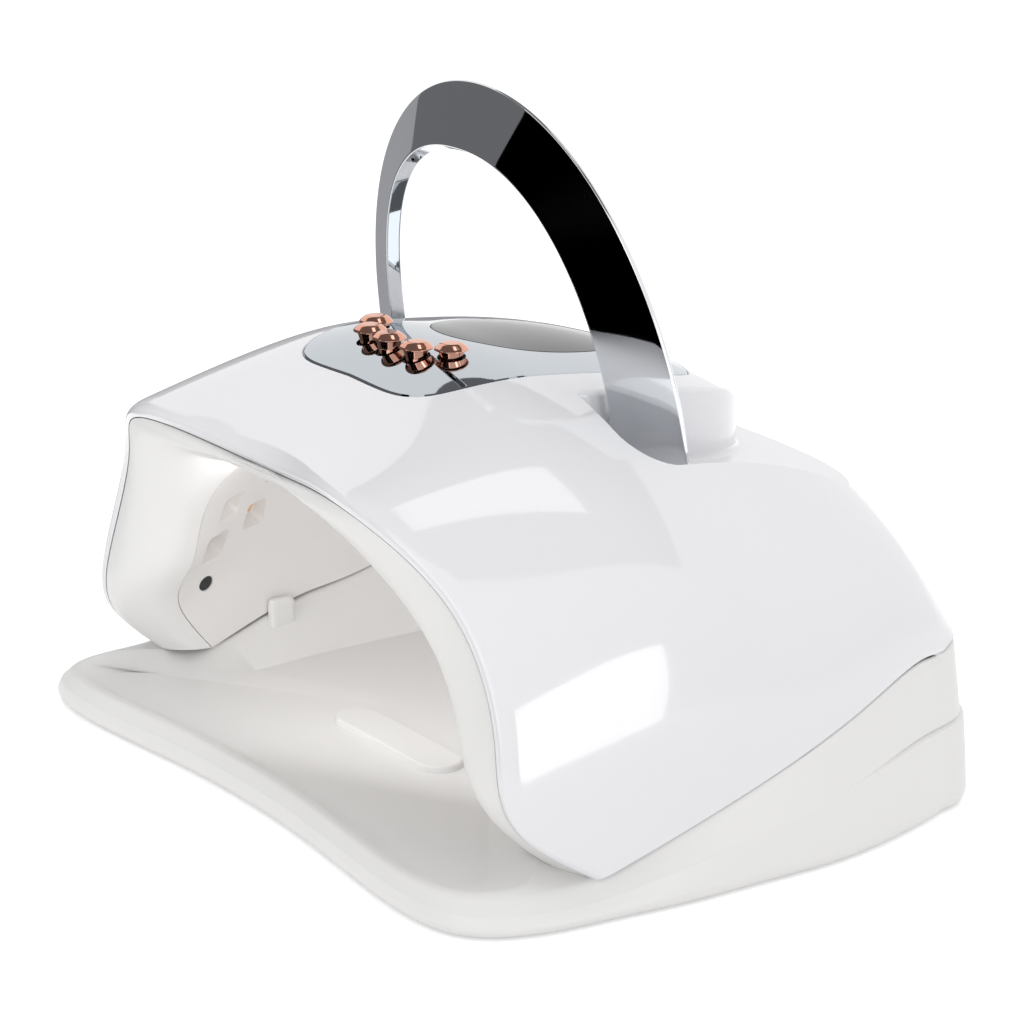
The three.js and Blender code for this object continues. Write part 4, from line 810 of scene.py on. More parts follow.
def finish(name, base, roughness, metallic, coat, grain):
    """A material with a slight variation in its gloss and, where asked for, a fine grain in its surface."""
    material, tree = new_material(name)
    place = add_node(tree, "ShaderNodeTexCoord").outputs["Object"]
    cloud = add_node(tree, "ShaderNodeTexNoise", Vector=place, Scale=18.0, Detail=3.0)
    gloss = add_node(tree, "ShaderNodeMapRange", Value=cloud.outputs["Fac"],
                     To_Min=roughness * (1 - WEAR), To_Max=roughness * (1 + WEAR))
    shader = tree.nodes["Principled BSDF"]
    feed(tree, shader, Base_Color=(*base, 1), Metallic=metallic, Roughness=gloss.outputs["Result"],
         Coat_Weight=coat, Coat_Roughness=0.03)
    if grain:
        texture = add_node(tree, "ShaderNodeTexNoise", Vector=place, Scale=900.0, Detail=2.0)
        bump = add_node(tree, "ShaderNodeBump", Height=texture.outputs["Fac"], Strength=grain, Distance=0.0001)
        feed(tree, shader, Normal=bump.outputs["Normal"])
    return material


def finishes():
    """The lamp's materials by name, made once."""
    colours = bpy.context.scene.lamp_colours
    made = {}
    for name, recipe in FINISHES.items():
        title = f"lamp {name}"
        made[name] = bpy.data.materials.get(title) or finish(title, getattr(colours, name), *recipe)
    return made


# Operators, one for each piece or group of like pieces

class LampOperator(bpy.types.Operator):
    """Adds one piece of the lamp"""
    bl_options = {"REGISTER", "UNDO"}


class AddHood(LampOperator):
    """Adds the glossy moulded hood with its boss, recess and panel seat"""
    bl_idname = "nail_lamp.add_hood"
    bl_label = "Hood"

    def execute(self, context):
        scene = context.scene
        hood, recess, panel = scene.lamp_hood, scene.lamp_recess, scene.lamp_panel
        skin = HoodSkin(hood)
        inner = skin.inner.copy()
        x, y = inner[..., 0], inner[..., 1]
        floor = recess.deck_rise - recess.deck_slope * y - recess.floor_wall
        inside = in_recess(x, y, recess, 4 * MM)
        inner[..., 2] = np.where(inside, np.minimum(inner[..., 2], floor), inner[..., 2])
        shell = body_between("hood_shell", skin.outer, inner)
        combine(shell, recess_cutter("recess", skin, recess), "DIFFERENCE")
        seat = body_between("seat", skin.crown(-5 * MM), skin.crown(panel.seat))
        outline = upright("seat outline", panel_loop(panel), skin, panel.gap, -panel.seat_edge)
        combine(seat, outline, "INTERSECT")
        combine(shell, seat, "DIFFERENCE")
        button_holes(shell, scene.lamp_buttons)
        low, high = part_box("power_inlet")
        inlet = cylinder("inlet", (0, 0, (low[2] + high[2]) / 2), hood.inlet_radius, 0.06, 0.12, axis=1)
        combine(shell, inlet, "DIFFERENCE")
        smooth_sides(shell)
        finish_piece(shell, "lamp", "gloss_white", "gloss", "top_shell")
        return {"FINISHED"}


class AddBezel(LampOperator):
    """Adds the satin bezel round the mouth of the hand cavity"""
    bl_idname = "nail_lamp.add_bezel"
    bl_label = "Bezel"

    def execute(self, context):
        scene = context.scene
        hood, bezel = scene.lamp_hood, scene.lamp_bezel
        skin = HoodSkin(hood)
        start = skin.basic[:, 0] - skin.normals[:, 0] * (hood.lip_wall + bezel.gap)
        end = mouth_points(skin.turns, hood)
        swell = np.minimum(bezel.swell, bezel.swell_share * np.linalg.norm(end - start, axis=1))
        rows = []
        for part in np.linspace(0, 1, 19):
            bulge = (swell * math.sin(math.pi * part))[:, None] * np.array([0, -1, 0])
            rows.append(start + (end - start) * part + bulge)
        rows += [mouth_roll(skin.turns, part, hood, bezel) for part in np.linspace(0, 1, 10)[1:]]
        face = np.stack(rows, axis=1)
        for _ in range(bezel.evenings):
            face[:, 1:-1] = (face[:, :-2] + 2 * face[:, 1:-1] + face[:, 2:]) / 4
        body = body_between("mouth_bezel", face, face + grid_normals(face) * bezel.wall)
        smooth_sides(body)
        finish_piece(body, "lamp", "satin_white", "satin", "front_bezel")
        return {"FINISHED"}


class AddPanel(LampOperator):
    """Adds the mirror panel and the display window in it"""
    bl_idname = "nail_lamp.add_panel"
    bl_label = "Mirror panel"

    def execute(self, context):
        scene = context.scene
        panel = scene.lamp_panel
        skin = HoodSkin(scene.lamp_hood)
        oval = oval_loop(panel.display_half_width, panel.display_half_length, panel.display_depth)
        plate = body_between("crown_mirror", skin.crown(0), skin.crown(panel.wall))
        combine(plate, upright("outline", panel_loop(panel), skin, 0, panel.bevel), "INTERSECT")
        combine(plate, upright("window", oval, skin, panel.gap, -panel.window_edge), "DIFFERENCE")
        button_holes(plate, scene.lamp_buttons)
        smooth_sides(plate, math.radians(20))
        finish_piece(plate, "lamp", "bright_plate", "mirror", "mirror_panel")
        window = body_between("display_pane", skin.crown(0), skin.crown(panel.wall))
        combine(window, upright("outline", oval, skin, 0, panel.pane_edge), "INTERSECT")
        smooth_sides(window, math.radians(20))
        finish_piece(window, "lamp", "display_grey", "display", "display_window")
        return {"FINISHED"}


class AddButtons(LampOperator):
    """Adds the push buttons, each a cap with a flat top on a neck and a stem"""
    bl_idname = "nail_lamp.add_buttons"
    bl_label = "Push buttons"

    def execute(self, context):
        buttons = context.scene.lamp_buttons
        for i, (x, y) in enumerate(button_spots(buttons), start=1):
            low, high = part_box(f"button_{i}")
            top, end = high[2], low[2]
            profile = [
                *((share * buttons.head_radius, top - depth * MM) for share, depth in CAP_PROFILE),
                (buttons.neck_radius, top - 2 * MM),
                *((share * buttons.stem_radius, top - depth * MM) for share, depth in NECK_PROFILE),
                (buttons.stem_radius, end), (0, end),
            ]
            body = lathe(f"push_button_{i}", profile, (x, y), buttons.sides, buttons.rounding)
            smooth_sides(body, math.radians(30))
            finish_piece(body, f"button_{i}", "copper_plate", "copper", f"button_{i}")
        return {"FINISHED"}


def rounded_line(line, radii):
    """A line of points whose inner corners are rounded off, each by its radius."""
    line = [np.array(p, float) for p in line]
    result = [line[0]]
    for before, here, after, radius in zip(line, line[1:], line[2:], radii):
        ways = [before - here, after - here]
        lengths = [np.linalg.norm(way) for way in ways]
        reach = min(radius, *(0.42 * length for length in lengths))
        a, b = (here + way / max(length, 1e-9) * reach for way, length in zip(ways, lengths))
        result += [(1 - t) ** 2 * a + 2 * t * (1 - t) * here + t ** 2 * b for t in np.linspace(0, 1, 4)]
    return result + [line[-1]]


def lathe(name, profile, place, sides, radius):
    """A turned body; the profile starts and ends on the axis."""
    points = rounded_line(profile, [radius] * (len(profile) - 2))
    rings = [plan_ring(place + circle(sides) * r, z) for r, z in points[1:-1]]
    return body_of_rings(name, rings, [(*place, points[0][1]), (*place, points[-1][1])])


class AddHandle(LampOperator):
    """Adds the carrying handle, a conical band with rounded feet and hubs for its pivots"""
    bl_idname = "nail_lamp.add_handle"
    bl_label = "Handle"

    def execute(self, context):
        handle = context.scene.lamp_handle
        angles = np.linspace(0, math.pi, 181)
        inner, outer = (self.edge(handle, which, angles) for which in ("inner", "outer"))
        width = np.linalg.norm(outer - inner, axis=1)[:, None]
        r = handle.rounding
        steps = np.radians(np.linspace(0, 90, 6))
        rim = r * (1 - np.cos(steps))
        sunk = r * (1 - np.sin(steps))
        middle = np.linspace(0, 1, 12)[1:-1]
        part = np.concatenate([
            rim[None, :] / width,
            (r + (width - 2 * r) * middle[None, :]) / width,
            1 - rim[None, ::-1] / width,
        ], axis=1)
        depth = np.concatenate([sunk, np.zeros(len(middle)), sunk[::-1]])
        face = inner[:, None] + (outer - inner)[:, None] * part[..., None]
        near_foot = np.clip(1 - np.minimum(angles, math.pi - angles) / handle.foot_span, 0, None)
        round_off = np.sqrt(np.clip(1 - (2 * part - 1) ** 2, 0, None))
        face[..., 2] -= handle.foot_drop * near_foot[:, None] * round_off
        normals = grid_normals(face)
        front = face - normals * depth[None, :, None]
        wall = handle.wall * (1 - (1 - handle.edge_share) * part ** 1.5)
        rear = face - normals * (wall - depth[None, :])[..., None]
        band = body_between("carry_handle", front, rear)
        ahead_front = face + normals * 4 * handle.wall
        ahead_rear = face - normals * handle.wall / 4
        gap = context.scene.lamp_base.seat_gap
        start = context.scene.lamp_recess.boss_half_width + gap
        for side in (1, -1):
            ends = sorted((side * start, side * (start + handle.lug_reach)))
            hub = cylinder("hub", (0, handle.pivot_depth, handle.pivot_rise), handle.lug_radius, *ends, axis=0)
            combine(hub, body_between("ahead", ahead_front, ahead_rear), "DIFFERENCE")
            combine(band, hub, "UNION")
        smooth_sides(band, math.radians(24))
        finish_piece(band, "handle", "bright_plate", "bright", "handle")
        return {"FINISHED"}

    @staticmethod
    def edge(handle, which, angles):
        """The inner or outer edge of the band, from foot to foot."""
        half_width, rise, squareness, depth, lean = (
            getattr(handle, f"{which}_{size}") for size in ("half_width", "rise", "squareness", "depth", "lean"))
        height = np.abs(np.sin(angles))
        return np.column_stack([
            half_width * signed_power(np.cos(angles), 2 / squareness),
            depth - lean * height,
            handle.foot_rise + rise * height ** (2 / squareness),
        ])


# Light pockets of the liner

def spot_on_liner(turn, depth):
    """The point of the liner's face at a turn and a depth."""
    rail = liner_grid([turn], np.linspace(0, 1, 600))[0]
    last = int(np.argmax(rail[:, 1]))
    rail = rail[:last + 1]
    return np.array([np.interp(depth, rail[:, 1], rail[:, k]) for k in range(3)])


def outward_on_liner(turn, depth):
    """The way out of the liner at a turn and a depth."""
    here = spot_on_liner(turn, depth)
    beside = spot_on_liner(turn + 0.01, depth) - here
    behind = spot_on_liner(turn, depth + MM) - here
    outward = np.cross(behind, beside)
    return outward / np.linalg.norm(outward)


def axes_at(outward):
    """Directions along the lamp, out of the liner and up along it."""
    along = np.array([0, 1, 0]) - outward * outward[1]
    along /= np.linalg.norm(along)
    return along, outward, np.cross(along, outward)


def pocket_places():
    """The flat behind each chip and the way out of the liner; all the flats of a row lie in one plane."""
    liner = bpy.context.scene.lamp_liner
    places = []
    for turn, depths in POCKET_ROWS:
        outward = sum(outward_on_liner(turn, depth) for depth in depths)
        outward /= np.linalg.norm(outward)
        spots = [spot_on_liner(turn, depth) for depth in depths]
        plane = max(spot @ outward for spot in spots) + liner.pocket_depth
        places += [(spot + outward * (plane - spot @ outward), outward) for spot in spots]
    return places


def rounded_square(count=6, corner=0.18):
    """A square of side one with rounded corners."""
    points = []
    for quarter in range(4):
        middle = np.array([0.5 - corner, 0.5 - corner])
        for angle in np.linspace(0, math.pi / 2, count):
            point = middle + corner * np.array([math.cos(angle), math.sin(angle)])
            turn = quarter * math.pi / 2
            points.append((point[0] * math.cos(turn) - point[1] * math.sin(turn),
                           point[0] * math.sin(turn) + point[1] * math.cos(turn)))
    return np.array(points)


def pocket(name, place, outward, length_here, width, mouth, low, high):
    """A tapered well along the way out of the liner."""
    along, out, up = axes_at(outward)
    shape = rounded_square()
    rings = []
    for level, grow in ((low, mouth), (high, 1.0)):
        rings.append(place + out * level + np.outer(shape[:, 0] * length_here * grow, along)
                     + np.outer(shape[:, 1] * width * grow, up))
    return body_of_rings(name, rings)


class AddLiner(LampOperator):
    """Adds the reflective liner of the hand cavity with its light pockets"""
    bl_idname = "nail_lamp.add_liner"
    bl_label = "Liner"

    def execute(self, context):
        sizes = context.scene.lamp_liner
        grid = liner_grid(np.linspace(0, 2, 141), np.linspace(0, 1, 81))
        normals = grid_normals(grid)
        body = body_between("cavity_liner", grid, grid + normals * sizes.wall)
        reach = sizes.pocket_depth + sizes.overlap
        outer = [size + 2 * sizes.pocket_wall for size in (sizes.pocket_length, sizes.pocket_width)]
        places = pocket_places()
        wells = []
        for place, outward in places:
            well = pocket("well", place, outward, *outer, sizes.mouth_share, -reach, 0)
            inside = body_between("inside", grid - normals * 12 * MM, grid + normals * 0.2 * MM)
            combine(well, inside, "DIFFERENCE")
            wells.append(well)
        for well in wells:
            combine(body, well, "UNION")
        for place, outward in places:
            deep = reach + sizes.overlap + sizes.pocket_wall
            hollow = pocket("hollow", place, outward, sizes.pocket_length, sizes.pocket_width,
                            sizes.mouth_share, -deep, -sizes.pocket_wall)
            combine(body, hollow, "DIFFERENCE")
            side = sizes.chip + 2 * sizes.chip_room
            combine(body, pocket("slot", place, outward, side, side, 1.0, -3 * MM, 2 * MM), "DIFFERENCE")
        for turn in WINDOW_TURNS:
            place = spot_on_liner(turn, -sizes.window_depth)
            outward = outward_on_liner(turn, -sizes.window_depth)
            combine(body, round_well(place, outward, sizes.window_radius), "DIFFERENCE")
        smooth_sides(body, math.radians(28))
        finish_piece(body, "lamp", "liner_white", "liner", "reflector_liner")
        return {"FINISHED"}


def round_well(place, outward, radius, count=40):
    """A round cutter through the liner's wall."""
    along, out, up = axes_at(outward)
    ring = place + circle(count) * radius @ np.stack([along, up])
    return body_of_rings("window", [ring - out * 4 * MM, ring + out * 4 * MM])


class AddChips(LampOperator):
    """Adds the light chips, one in each pocket of the liner"""
    bl_idname = "nail_lamp.add_chips"
    bl_label = "Light chips"

    def execute(self, context):
        sizes = context.scene.lamp_liner
        places = pocket_places()
        mesh = bpy.data.meshes.new("chip places")
        mesh.from_pydata([tuple(place - outward * sizes.pocket_wall) for place, outward in places], [], [])
        facing = mesh.attributes.new("facing", "FLOAT_VECTOR", "POINT")
        facing.data.foreach_set("vector", [v for _, outward in places for v in -outward])
        chips = bpy.data.objects.new("light_chips", mesh)
        context.scene.collection.objects.link(chips)
        tree = chip_tree(finishes()["chip"])
        modifier = chips.modifiers.new("chips", "NODES")
        modifier.node_group = tree
        inputs = {item.name: item.identifier for item in tree.interface.items_tree if item.in_out == "INPUT"}
        modifier[inputs["Side"]] = sizes.chip
        modifier[inputs["Height"]] = sizes.chip_height
        modifier[inputs["Lens"]] = sizes.chip * sizes.lens_share
        settle(chips)
        chips.data.materials.clear()
        nodes = [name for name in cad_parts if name.startswith("led_") and not name.startswith("led_strip")]
        finish_piece(chips, "lamp", "led_amber", "chip", *nodes)
        return {"FINISHED"}


def chip_tree(material):
    """A square chip with a domed lens at each point, turned to the point's facing direction."""
    tree = bpy.data.node_groups.new("Light chips", "GeometryNodeTree")
    tree.is_modifier = True
    for way in ("OUTPUT", "INPUT"):
        tree.interface.new_socket("Geometry", in_out=way, socket_type="NodeSocketGeometry")
    for name in ("Side", "Height", "Lens"):
        tree.interface.new_socket(name, in_out="INPUT", socket_type="NodeSocketFloat")
    given = add_node(tree, "NodeGroupInput").outputs
    size = add_node(tree, "ShaderNodeCombineXYZ", X=given["Side"], Y=given["Side"], Z=given["Height"])
    body = add_node(tree, "GeometryNodeMeshCube", Size=size.outputs[0])
    lens = add_node(tree, "GeometryNodeMeshUVSphere", Segments=24, Rings=12, Radius=given["Lens"])
    half = tree.nodes.new("ShaderNodeMath")
    half.operation = "MULTIPLY"
    half.inputs[1].default_value = 0.5
    tree.links.new(given["Height"], half.inputs[0])
    lift = add_node(tree, "ShaderNodeCombineXYZ", Z=half.outputs[0])
    flat = add_node(tree, "GeometryNodeTransform", Geometry=lens.outputs["Mesh"], Translation=lift.outputs[0],
                    Scale=(1, 1, 0.35))
    chip = add_node(tree, "GeometryNodeJoinGeometry", Geometry=body.outputs["Mesh"])
    tree.links.new(flat.outputs["Geometry"], chip.inputs[0])
    facing = add_node(tree, "GeometryNodeInputNamedAttribute", Name="facing")
    facing.data_type = "FLOAT_VECTOR"
    turn = add_node(tree, "FunctionNodeAlignRotationToVector", Vector=facing.outputs["Attribute"])
    turn.axis = "Z"
    spread = add_node(tree, "GeometryNodeInstanceOnPoints", Points=given["Geometry"], Instance=chip.outputs[0],
                      Rotation=turn.outputs[0])
    real = add_node(tree, "GeometryNodeRealizeInstances", Geometry=spread.outputs[0])
    paint = add_node(tree, "GeometryNodeSetMaterial", Geometry=real.outputs[0], Material=material)
    add_node(tree, "NodeGroupOutput", Geometry=paint.outputs["Geometry"])
    return tree


class AddBase(LampOperator):
    """Adds the base plate with its dished floor, finger rest, raised walls and locating tabs"""
    bl_idname = "nail_lamp.add_base"
    bl_label = "Base plate"

    def execute(self, context):
        base = context.scene.lamp_base
        sections = self.evened(np.concatenate([self.wall_sections(), self.front_sections()]))
        radii = [radius * MM for radius in SECTION_RADII]
        rings = np.stack([rounded_line(section, radii) for section in sections], axis=1)
        body = body_of_rings("base_tray", rings, [(0, 0, base.floor), (0, 0, base.floor - base.floor_wall)])
        combine(body, self.finger_rest(), "UNION")
        for side in (1, -1):
            combine(body, self.tab(side), "UNION")
        for index in range(1, 5):
            low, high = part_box(f"rubber_foot_{index}")
            x, y = (low[0] + high[0]) / 2, (low[1] + high[1]) / 2 - middle_shift()
            radius = (high[0] - low[0]) / 2
            post = cylinder("post", (x, y, 0), radius + base.wall, base.bottom, base.floor - base.floor_wall / 2)
            combine(body, post, "UNION")
            socket = cylinder("socket", (x, y, 0), radius + base.foot_gap, -MM, high[2] + 0.1 * MM)
            combine(body, socket, "DIFFERENCE")
        smooth_sides(body, math.radians(30))
        finish_piece(body, "base", "satin_white", "satin", "base_plate")
        return {"FINISHED"}

    @staticmethod
    def section_points(bottom, rest_outer, rest_inner, floor_edge, inward, creased):
        """The plate's outline in section, from the floor over the wall and under it back to the middle."""
        base = bpy.context.scene.lamp_base

        def level(points, z):
            moved = points.copy()
            moved[:, 2] = z
            return moved

        def flank(height, inset, sunk):
            points = bottom + (rest_outer - bottom) * inset
            low = base.bottom + base.edge
            points[:, 2] = low + (rest_outer[:, 2] - low) * height
            return points + inward * (sunk * creased)[:, None]

        inwards = plan_direction(rest_outer, rest_inner)
        return np.stack([
            floor_edge,
            rest_inner,
            rest_outer,
            *(flank(height, inset, base.crease * depth) for height, inset, depth in FLANK_STEPS),
            level(bottom, base.bottom + base.edge),
            bottom + inward * base.edge / 2,
            bottom + inward * (base.edge / 2 + base.wall),
            level(rest_outer + inwards * base.wall, rest_outer[:, 2] - base.wall),
            level(rest_inner, rest_inner[:, 2] - base.wall),
            level(floor_edge + inward * base.wall / 2, base.floor - base.floor_wall),
        ], axis=1)

    def wall_sections(self):
        """Sections of the base below the hood, from the right foot round the rear to the left foot."""
        scene = bpy.context.scene
        base, hood = scene.lamp_base, scene.lamp_hood
        skin = HoodSkin(hood)
        along = np.linspace(0, 1, 81)
        columns = np.clip(np.searchsorted(skin.stations, along), 0, len(skin.stations) - 1)
        steady = np.maximum(columns, 12)

        def round_edge(grid, at=slice(None)):
            """The points along a grid's right side, its rear and its left side."""
            return np.concatenate([grid[0, at], grid[1:-1, -1], grid[-1, at][::-1]])

        points = round_edge(hood_grid(skin.turns, along, hood))
        normals = round_edge(skin.normals, steady)
        inner_z = round_edge(skin.inner, columns)[:, 2]
        cavity = liner_grid(skin.turns, along)
        liner, liner_normals = round_edge(cavity), round_edge(grid_normals(cavity))
        feet = np.where(np.arange(len(points))[:, None] < len(points) / 2, points[0], points[-1])
        from_foot = np.linalg.norm(points - feet, axis=1)
        rest_outer = points + normals * (hood.lip_swell * smooth_share(from_foot / base.swell_fade))[:, None]
        inward = -normals * (1, 1, 0)
        inward /= np.linalg.norm(inward, axis=1, keepdims=True)
        fade = smooth_share(from_foot / base.flare_fade)
        flare = base.flare_foot + (base.flare_side - base.flare_foot) * fade
        bottom = rest_outer - inward * flare[:, None]
        bottom[:, 2] = base.bottom
        rest_outer[:, 2] = np.minimum(rest_outer[:, 2], inner_z) - base.seat_gap
        hang = np.clip(liner_normals[:, 2] * scene.lamp_liner.wall, None, 0)
        rest_inner = liner.copy()
        rest_inner[:, 2] += hang - base.seat_gap - base.liner_seat
        floor_edge = rest_inner + inward * base.wall_slope
        floor_edge[:, 2] = base.floor
        creased = smooth_share((from_foot - base.crease_start) / base.crease_fade)
        return self.section_points(bottom, rest_outer, rest_inner, floor_edge, inward, creased)

    def front_sections(self):
        """Sections of the base along its front edge, between the hood's feet."""
        base = bpy.context.scene.lamp_base
        turns = np.linspace(2, 0, 141)[1:-1]

        def edge(at):
            return mirrored_edge(
                at, BASE_TURNS, [v * base.half_width for v in BASE_ACROSS],
                [-v * base.front for v in BASE_REACH], [base.bottom] * len(BASE_REACH))

        bottom = edge(turns)
        along = plan_direction(bottom, edge(turns - 0.01))
        inward = np.column_stack([-along[:, 1], along[:, 0], np.zeros(len(turns))])
        away = smooth_share(np.minimum(turns, 2 - turns) / base.front_fade)
        past = smooth_share(np.minimum(turns, 2 - turns) / base.rest_fade)
        foot = self.wall_sections()[0]
        foot_outer, foot_inner, foot_bottom = foot[2], foot[1], foot[7]

        def mixed(a, b, share):
            return a + (b - a) * share

        inset = mixed(base.flare_foot, base.lip_inset, away)
        rest_outer = bottom + inward * inset[:, None]
        rest_outer[:, 2] = mixed(foot_outer[2], base.lip_rise, away)
        foot_width = foot_bottom[0] - foot_inner[0]
        width = mixed(foot_width - base.flare_foot, base.lip_width, past)
        rest_inner = bottom + inward * (inset + width)[:, None]
        rest_inner[:, 2] = mixed(foot_inner[2], base.lip_rise, past)
        reach = mixed(foot_width + base.wall_slope, base.lip_inset + base.lip_width + base.lip_slope, away)
        floor_edge = bottom + inward * reach[:, None]
        floor_edge[:, 2] = base.floor
        return self.section_points(bottom, rest_outer, rest_inner, floor_edge, inward, np.zeros(len(turns)))

    @staticmethod
    def evened(sections):
        """Sections whose rings never turn back on themselves, with the kinks at the feet smoothed out."""
        weights = np.array([1, 4, 6, 4, 1]) / 16
        rear = int(np.argmax(sections[:, 2, 1]))
        sections = np.roll(sections, -rear, axis=0)
        for ring in range(sections.shape[1]):
            x, y = sections[:, ring, 0], sections[:, ring, 1]
            angle = np.unwrap(np.arctan2(y, x))
            way = math.copysign(1, angle[-1] - angle[0])
            ahead = np.maximum.accumulate(way * angle)
            behind = np.minimum.accumulate((way * angle)[::-1])[::-1]
            angle = way * (ahead + behind) / 2
            reach = np.hypot(x, y)
            sections[:, ring, 0], sections[:, ring, 1] = reach * np.cos(angle), reach * np.sin(angle)
        sections = np.roll(sections, rear, axis=0)
        for _ in range(10):
            sections = sum(w * np.roll(sections, k - 2, axis=0) for k, w in enumerate(weights))
        return sections

    @staticmethod
    def finger_rest():
        """A low pad with round ends."""
        base = bpy.context.scene.lamp_base
        ring = circle(72)
        ends = (base.rest_half_length - base.rest_half_width) * np.sign(ring[:, :1] + 1e-9) * (1, 0)
        top = base.floor + base.rest_height
        levels = [(0, base.floor - MM), *((inset * MM, top - depth * MM) for inset, depth in REST_STEPS)]
        rings = []
        for inset, level in levels:
            radius = base.rest_half_width - inset
            rings.append(plan_ring(ends + (0, -base.rest_depth) + ring * radius, level))
        return body_of_rings("rest", rings)

    @staticmethod
    def tab(side):
        """A tab that finds its place beside the liner's wall."""
        base = bpy.context.scene.lamp_base
        rail = liner_grid([0.0], np.linspace(0, 1, 400))[0]
        depth = -base.tab_depth
        foot = np.array([np.interp(depth, rail[:200, 1], rail[:200, k]) for k in range(3)])
        x = foot[0] - base.tab_inset
        shape = rounded_square(4, 0.22) * 2
        rings = []
        for half_x, half_y, rise in TAB_STEPS:
            loop = (side * x, depth) + shape * (half_x * MM, half_y * MM)
            rings.append(plan_ring(loop, foot[2] + rise * MM))
        return body_of_rings("tab", rings)


def plan_direction(here, there):
    """Level directions from points to others, of length one."""
    way = np.broadcast_to(there, np.shape(here)) - here
    way = way * (1, 1, 0)
    return way / np.linalg.norm(way, axis=-1, keepdims=True)


class FinishHiddenParts(LampOperator):
    """Gives the CAD's own parts their finishes: feet, pins, boards, switches, strips, magnets, inlet"""
    bl_idname = "nail_lamp.finish_hidden_parts"
    bl_label = "Hidden parts"

    def execute(self, context):
        made = finishes()
        for name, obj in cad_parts.items():
            for start, look in CAD_FINISHES.items():
                if name.startswith(start):
                    for slot in obj.material_slots:
                        slot.material = made[look]
        return {"FINISHED"}


class SetStage(LampOperator):
    """Adds the floor, the cards, the studio light and the camera"""
    bl_idname = "nail_lamp.set_stage"
    bl_label = "Stage"

    def execute(self, context):
        scene = context.scene
        stage = scene.lamp_stage
        half = stage.floor_size / 2
        add_plane("floor", [(-half, -half, 0), (half, -half, 0), (half, half, 0), (-half, half, 0)], floor_finish())
        for name, (corners, tone) in CARDS.items():
            card = add_plane(name, corners, card_finish(name, tone))
            card.visible_camera = False
            card.visible_diffuse = False
            card.visible_shadow = False
        for name, (place, aim, size, power) in (LIGHTS | CAVITY_LIGHTS).items():
            light = add_light(name, "AREA", place, aim, energy=power, shape="RECTANGLE", size=size[0], size_y=size[1])
            light.visible_camera = False
            light.visible_glossy = name in LIGHTS
        for name, (place, aim, angle, power) in BEAMS.items():
            beam = add_light(name, "SPOT", place, aim, energy=power, spot_size=math.radians(angle), spot_blend=0.7,
                             shadow_soft_size=0.12)
            beam.visible_glossy = False
        set_world()
        camera = bpy.data.cameras.new("camera")
        camera.sensor_width = 36
        camera.lens = stage.lens
        scene.camera = add_aimed("camera", camera, stage.camera_place, stage.camera_aim)
        scene.view_settings.view_transform = "Standard"
        return {"FINISHED"}


def add_aimed(name, data, place, aim):
    """Adds a camera or a light that looks from its place to what it aims at."""
    obj = bpy.data.objects.new(name, data)
    bpy.context.scene.collection.objects.link(obj)
    obj.location = place
    obj.rotation_euler = (Vector(aim) - Vector(place)).to_track_quat("-Z", "Y").to_euler()
    return obj


def add_light(name, kind, place, aim, **settings):
    """Adds a light with its settings."""
    data = bpy.data.lights.new(name, kind)
    for key, value in settings.items():
        setattr(data, key, value)
    return add_aimed(name, data, place, aim)


def add_plane(name, corners, material):
    """Adds a flat card or floor to the stage."""
    mesh = bpy.data.meshes.new(name)
    mesh.from_pydata(corners, [], [(0, 1, 2, 3)])
    mesh.materials.append(material)
    obj = bpy.data.objects.new(name, mesh)
    bpy.context.scene.collection.objects.link(obj)
    return obj


def floor_finish():
    """A pale floor that shows the lamp's shadow; it is lifted where it is seen, not in the light that it gives."""
    material, tree = new_material("stage floor")
    shader = tree.nodes["Principled BSDF"]
    feed(tree, shader, Base_Color=(0.9, 0.9, 0.9, 1), Roughness=0.9, Specular_IOR_Level=0.1)
    lift = tree.nodes.new("ShaderNodeMath")
    lift.operation = "MULTIPLY"
    lift.inputs[1].default_value = FLOOR_LIFT
    tree.links.new(seen_as_background(tree), lift.inputs[0])
    bright = add_node(tree, "ShaderNodeEmission", Color=(1, 1, 1, 1), Strength=lift.outputs[0])
    both = tree.nodes.new("ShaderNodeAddShader")
    for k, part in enumerate((shader, bright)):
        tree.links.new(part.outputs[0], both.inputs[k])
    feed(tree, tree.nodes["Material Output"], Surface=both.outputs[0])
    return material


def card_finish(name, tone):
    """An even tone that gloss and bright plating mirror."""
    material, tree = new_material(name)
    even = add_node(tree, "ShaderNodeEmission", Color=(tone, tone, tone * 1.04, 1), Strength=1.0)
    feed(tree, tree.nodes["Material Output"], Surface=even.outputs[0])
    return material


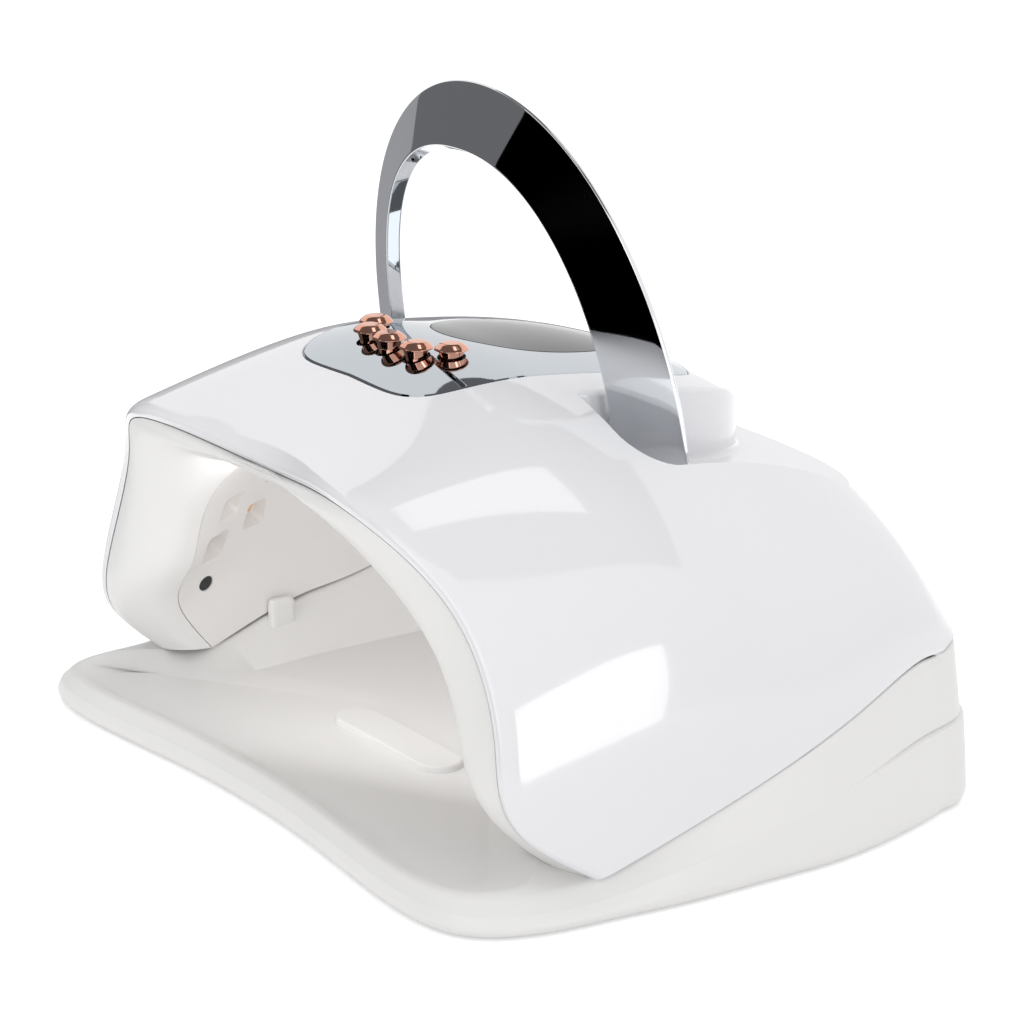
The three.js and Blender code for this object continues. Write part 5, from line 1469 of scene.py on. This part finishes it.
def seen_as_background(tree):
    """One for the camera, in mirrors and through clear parts, and nothing for the light on the lamp."""
    path = add_node(tree, "ShaderNodeLightPath")
    total = path.outputs["Is Camera Ray"]
    for name in ("Is Glossy Ray", "Is Transmission Ray"):
        wider = tree.nodes.new("ShaderNodeMath")
        wider.operation = "MAXIMUM"
        for k, part in enumerate((total, path.outputs[name])):
            tree.links.new(part, wider.inputs[k])
        total = wider.outputs[0]
    return total


def set_world():
    """A soft pale surround that looks white to the camera and in mirrors."""
    world = bpy.data.worlds.new("surround")
    bpy.context.scene.world = world
    world.use_nodes = True
    tree = world.node_tree
    dim = tree.nodes["Background"]
    feed(tree, dim, Color=(1, 1, 1, 1), Strength=WORLD_LIGHT)
    white = add_node(tree, "ShaderNodeBackground", Color=(1, 1, 1, 1), Strength=1.0)
    mixed = add_node(tree, "ShaderNodeMixShader", Fac=seen_as_background(tree))
    for k, part in enumerate((dim, white), start=1):
        tree.links.new(part.outputs[0], mixed.inputs[k])
    feed(tree, tree.nodes["World Output"], Surface=mixed.outputs[0])


OPERATORS = (
    AddHood, AddBezel, AddPanel, AddButtons, AddHandle, AddLiner, AddChips, AddBase, FinishHiddenParts, SetStage,
)


class LampSidebar(bpy.types.Panel):
    """Lists the lamp's pieces"""
    bl_idname = "VIEW3D_PT_nail_lamp"
    bl_label = "Nail Lamp"
    bl_space_type = "VIEW_3D"
    bl_region_type = "UI"
    bl_category = "Nail Lamp"

    def draw(self, context):
        for operator in OPERATORS:
            self.layout.operator(operator.bl_idname)


def register():
    for group in GROUPS.values():
        bpy.utils.register_class(group)
    for name, group in GROUPS.items():
        setattr(bpy.types.Scene, name, PointerProperty(type=group))
    for operator in OPERATORS:
        bpy.utils.register_class(operator)
    bpy.utils.register_class(LampSidebar)


def unregister():
    bpy.utils.unregister_class(LampSidebar)
    for operator in reversed(OPERATORS):
        bpy.utils.unregister_class(operator)
    for name, group in reversed(list(GROUPS.items())):
        delattr(bpy.types.Scene, name)
        bpy.utils.unregister_class(group)


def main():
    register()
    for operator in OPERATORS:
        family, name = operator.bl_idname.split(".")
        getattr(getattr(bpy.ops, family), name)()


if __name__ == "__main__":
    main()
